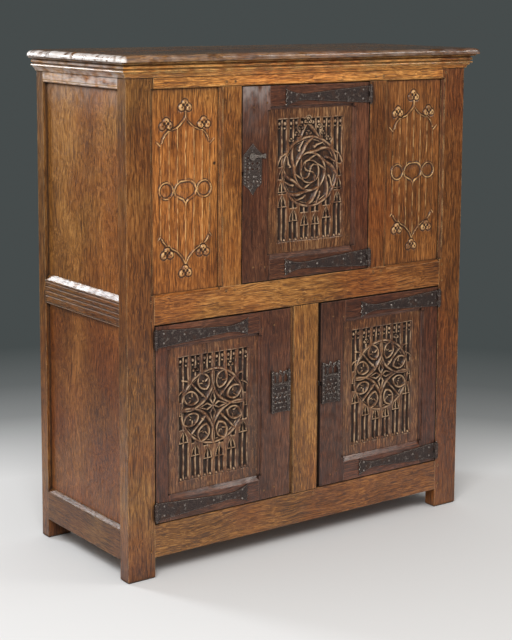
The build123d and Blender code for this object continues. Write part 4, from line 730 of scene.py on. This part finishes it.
# How far each row of nails stands from the hinge, and how far its nails are off the strap's middle.
nail_rows = ((0.028, (-0.013, 0.014)), (0.098, (0.004,)), (0.200, (0.0,)), (0.303, (-0.014, 0.013)))
for door in doors:
    low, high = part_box(door + "_straps")
    nails = bmesh.new()
    for level in (low[2] + strap_half_height, high[2] - strap_half_height):
        for out, rises in nail_rows:
            hinge_on_left = door == "lower_left_door"
            nail_x = high[0] - strap_reach + out if hinge_on_left else low[0] + strap_reach - out
            for rise in rises:
                driven_head(nails, nail_x, front_y - strap_thickness, level + rise, nail_radius, nail_proud)
    finished(door + "_strap_nails", nails, bright_iron, door, 30.0)

# The lock plates' chiselled work: studs over the plate, beads up the edges, and buds on
# the crest, all riveted through and rubbed bright. Where the latch lever swings, the plate
# is left smooth.
plate_thickness = 0.002
lever_x, lever_z, lever_reach = -0.203, 1.198, 0.052
lever_room_left, lever_room_below = 0.010, 0.016


def long_plate_studs(studs, low, high, face_y):
    """The upper door's plate: loose rows of studs, kept out of the lever's sweep, and beads up both edges."""
    column_pitch, row_pitch, lowest_row = 0.015, 0.0135, 0.026
    bead_pitch, lowest_bead, bead_inset = 0.0092, 0.036, 0.0045
    for row in range(8):
        for column in range(3):
            sway = math.sin(5.1 * row + 3.7 * column)
            x = (low[0] + high[0]) / 2 + (column - 1) * column_pitch + sway * 0.004
            z = low[2] + lowest_row + row_pitch * row
            in_reach = math.hypot(x - lever_x, z - lever_z) < lever_reach
            swept = in_reach and (x > lever_x - lever_room_left or z > lever_z - lever_room_below)
            if not swept:
                driven_head(studs, x, face_y, z, radius=0.0034 + 0.0010 * sway, proud=0.0030)
    for edge_x, beads in ((low[0] + bead_inset, 9), (high[0] - bead_inset, 3)):
        for bead in range(beads):
            z = low[2] + lowest_bead + bead_pitch * bead
            driven_head(studs, edge_x, face_y, z, radius=0.0030, proud=0.0024)


def square_plate_studs(studs, low, high, face_y):
    """A lower door's plate: staggered rows of studs, beads up both edges, and three buds on the crest."""
    middle_x, half_width = (low[0] + high[0]) / 2, (high[0] - low[0]) / 2
    column_pitch, row_pitch, lowest_row = 0.0135, 0.0145, 0.014
    bead_pitch, lowest_bead, bead_inset = 0.0135, 0.010, 0.0036
    for row in range(5):
        for column in range(3 + row % 2):
            sway = math.sin(4.3 * row + 2.9 * column)
            x = middle_x + (column - 1 - 0.5 * (row % 2)) * column_pitch + sway * 0.002
            z = low[2] + lowest_row + row_pitch * row
            driven_head(studs, x, face_y, z, radius=0.0033 + 0.0009 * sway, proud=0.0028)
    for side in (-1, 1):
        edge_x = middle_x + side * (half_width - bead_inset)
        for bead in range(9):
            z = low[2] + lowest_bead + bead_pitch * bead
            driven_head(studs, edge_x, low[1], z, radius=0.0028, proud=0.0018)
        driven_head(studs, middle_x + side * 0.014, face_y, high[2] - 0.010, radius=0.0042, proud=0.0034)
    driven_head(studs, middle_x, face_y, high[2] - 0.004, radius=0.0042, proud=0.0034)


for door in doors:
    low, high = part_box(door + "_lock_plate")
    studs = bmesh.new()
    place_studs = long_plate_studs if door == "upper_door" else square_plate_studs
    place_studs(studs, low, high, front_y - plate_thickness)
    finished(door + "_lock_studs", studs, bright_iron, door, 30.0)

# The doors' pegs: riven oak, driven in from the front and left a little proud, two at each
# corner on the lock's side. Their end grain is darker than the carcase round them.
peg_oak = oak("peg_oak", "y", deeper(golden_tones, 0.55), wear=1.0)
peg_radius, peg_proud = 0.0046, 0.0012
peg_places = {"upper_door": ((-0.150, 1.352), (-0.155, 0.868), (-0.196, 1.340), (-0.198, 0.872)),
              "lower_left_door": ((-0.165, 0.683), (-0.154, 0.187), (-0.118, 0.690), (-0.116, 0.192)),
              "lower_right_door": ((0.148, 0.683), (0.125, 0.198), (0.106, 0.690), (0.102, 0.190))}
for door, places in peg_places.items():
    pegs = bmesh.new()
    for peg_x, peg_z in places:
        driven_head(pegs, peg_x, front_y, peg_z, peg_radius, peg_proud)
    finished(door + "_pegs", pegs, peg_oak, door, 30.0)

# The top: two broad boards, front and back, laid over the frame and the cornice. Their ends
# and front edge have worn round and wavy, and a painted sheen shows white along the left end
# and the front edge.
top_oak = oak("top_oak", "x", deeper(golden_tones, 0.6), shift=(0.5, 0.5, 0.1), wear=1.0, polish=0.9,
              painted_sheens=(("x", -0.645, -0.656, 1.5), ("y", -0.258, -0.268, 0.12)))
front_board_width, board_joint, worn_radius = 0.277, 0.0004, 0.0095
end_loss, end_loss_reach, end_round_reach = 0.009, 0.05, 0.026
front_loss, front_loss_reach = 0.007, 0.04
arris_loss, face_loss = 0.009, 0.0008


def ripple(x, y):
    """A smooth chance value at a place, the same on every run."""
    return noise.noise(Vector((x, y, 0.0)))


def worn_board(name, low, high, worn_front):
    """One board with its outline worn in from the straight line, and its upper arris worn down."""
    board = bmesh.new()
    bmesh.ops.create_cube(board, size=1.0)
    bmesh.ops.scale(board, vec=Vector(high) - Vector(low), verts=board.verts)
    bmesh.ops.translate(board, vec=(Vector(high) + Vector(low)) / 2, verts=board.verts)
    upper = [edge for edge in board.edges
             if edge.verts[0].co.z + edge.verts[1].co.z > low[2] + high[2] - 0.001]
    bmesh.ops.bevel(board, geom=upper, offset=worn_radius, offset_type="OFFSET", affect="EDGES", segments=4,
                    profile=0.5, material=-1)
    for axis, cuts in ((0, 150), (1, 36)):
        runs = [edge for edge in board.edges
                if abs(edge.verts[0].co[axis] - edge.verts[1].co[axis]) > 0.1]
        bmesh.ops.subdivide_edges(board, edges=runs, cuts=cuts, use_grid_fill=True)
    for vert in board.verts:
        x, y, z = vert.co
        end = -1 if x < 0 else 1
        from_end, from_front = high[0] - abs(x), y - low[1]
        at_end = max(0.0, 1 - from_end / end_loss_reach)
        at_front = max(0.0, 1 - from_front / front_loss_reach) if worn_front else 0.0
        end_wave = 0.65 + 0.9 * ripple(end * 3.0, y * 14)
        front_wave = 0.5 + 0.5 * ripple(x * 8, 7.0) + 0.2 * ripple(x * 40, 2.0)
        vert.co.x -= end * at_end * end_loss * max(0.0, end_wave)
        vert.co.y += at_front * front_loss * max(0.0, front_wave)
        if z > (low[2] + high[2]) / 2:
            end_round = max(0.0, 1 - from_end / end_round_reach) * end_wave
            front_round = 0.5 * at_front ** 2 * front_wave
            vert.co.z -= arris_loss * max(end_round, front_round, 0.0)
            vert.co.z -= face_loss * (0.5 + 0.5 * ripple(x * 5, y * 12))
    made = finished(name, board, top_oak, "carcase", 50.0)
    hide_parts("top_boards")


top_low, top_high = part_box("top_boards")
meeting_y = top_low[1] + front_board_width
worn_board("top_front_board", top_low, (top_high[0], meeting_y, top_high[2]), worn_front=True)
worn_board("top_back_board", (top_low[0], meeting_y + board_joint, top_low[2]), top_high, worn_front=False)

# The floor and the light: a pale floor with a painted pool of light that falls off into a
# glowing dark grey room, a wide soft lamp on the left in front, two smaller ones on the right
# and high up behind, and an even pale surround.
room_grey, surround_tone = (0.062, 0.072, 0.072), (0.545, 0.53, 0.50)
floor_shape = bmesh.new()
bmesh.ops.create_circle(floor_shape, cap_ends=True, segments=48, radius=40.0)
floor_mesh = bpy.data.meshes.new("floor")
floor_shape.to_mesh(floor_mesh)
floor_shape.free()
floor = bpy.data.objects.new("floor", floor_mesh)
bpy.context.collection.objects.link(floor)

# Painted light: the lit floor gives way, with distance from a point before the cupboard, to an
# emission of the room's dark grey, so the light round the cupboard is painted to fall off.
paper, paper_shade, paper_shader = new_material("pale_paper")
feed(paper_shade, paper_shader, Roughness=0.9, Base_Color=(0.745, 0.76, 0.785, 1.0))
centred = paper_shade.node("TexCoord", output=3).stretch((1.0, 1.0, 1.0), (0.88, 1.21, 0.0))
reach = centred.vector("LENGTH", centred, output=1) * 0.22
painted_falloff_stops = [(place, (share,) * 3) for place, share in
              ((0.46, 0.0), (0.537, 0.3), (0.629, 0.72), (0.739, 0.9), (0.898, 1.0))]
painted_falloff = reach.node("ValToRGB", {"stops": painted_falloff_stops}, {0: reach})
glowing_backdrop = paper_shade.node("Emission", None, {"Color": (*room_grey, 1.0)})
lit_paper = Shade(paper.node_tree, paper_shader.outputs[0])
ground_shade = paper_shade.node("MixShader", None, {0: painted_falloff, 1: lit_paper, 2: glowing_backdrop})
paper.node_tree.links.new(ground_shade.socket, paper.node_tree.nodes["Material Output"].inputs["Surface"])
floor_mesh.materials.append(paper)

# The surround lights the cupboard evenly, but the camera and reflections see the dark room.
world = bpy.data.worlds.new("studio")
bpy.context.scene.world = world
world.use_nodes = True
surround = Shade(world.node_tree)
to_camera, to_reflection = surround.node("LightPath", output=0), surround.node("LightPath", output=3)
surround_colour = surround.math("MAXIMUM", to_camera, to_reflection).tint(surround_tone, room_grey)
world.node_tree.links.new(surround_colour.socket, world.node_tree.nodes["Background"].inputs["Color"])


def soft_lamp(name, place, target, size, power, tint):
    """A wide lamp that faces its target."""
    lamp = bpy.data.lights.new(name, "AREA")
    lamp.shape, lamp.size, lamp.size_y = "RECTANGLE", size[0], size[1]
    lamp.energy, lamp.color = power, tint
    holder = bpy.data.objects.new(name, lamp)
    bpy.context.collection.objects.link(holder)
    holder.location = place
    holder.rotation_euler = (Vector(target) - Vector(place)).to_track_quat("-Z", "Y").to_euler()


soft_lamp("window_lamp", (-2.4, -2.5, 3.0), (0.2, 0.2, 0.6), size=(1.8, 1.6), power=112.0,
          tint=(1.0, 0.97, 0.93))
soft_lamp("high_lamp", (-2.05, 3.4, 2.4), (0.0, 0.0, 1.0), size=(0.9, 0.7), power=62.0,
          tint=(0.95, 0.98, 1.0))
soft_lamp("right_lamp", (2.4, -2.7, 2.5), (0.1, -0.2, 0.6), size=(1.1, 0.8), power=25.0,
          tint=(1.0, 0.94, 0.88))

# The camera stands to the left of the cupboard at eye height and looks slightly down.
camera_place = Vector((-2.827, -3.851, 1.663))
yaw, pitch, roll = math.radians(36.10), math.radians(7.72), math.radians(0.29)
ahead = Vector((math.sin(yaw) * math.cos(pitch), math.cos(yaw) * math.cos(pitch), -math.sin(pitch)))
level_right = Vector((math.cos(yaw), -math.sin(yaw), 0.0))
level_up = level_right.cross(ahead)
right = math.cos(roll) * level_right + math.sin(roll) * level_up
up = math.cos(roll) * level_up - math.sin(roll) * level_right
view = bpy.data.cameras.new("view")
view.lens, view.sensor_width, view.shift_y = 87.2, 36.0, -0.18
viewer = bpy.data.objects.new("view", view)
bpy.context.collection.objects.link(viewer)
viewer.matrix_world = Matrix.Translation(camera_place) @ Matrix((right, up, -ahead)).transposed().to_4x4()
bpy.context.scene.camera = viewer
bpy.context.scene.view_settings.view_transform = "Standard"
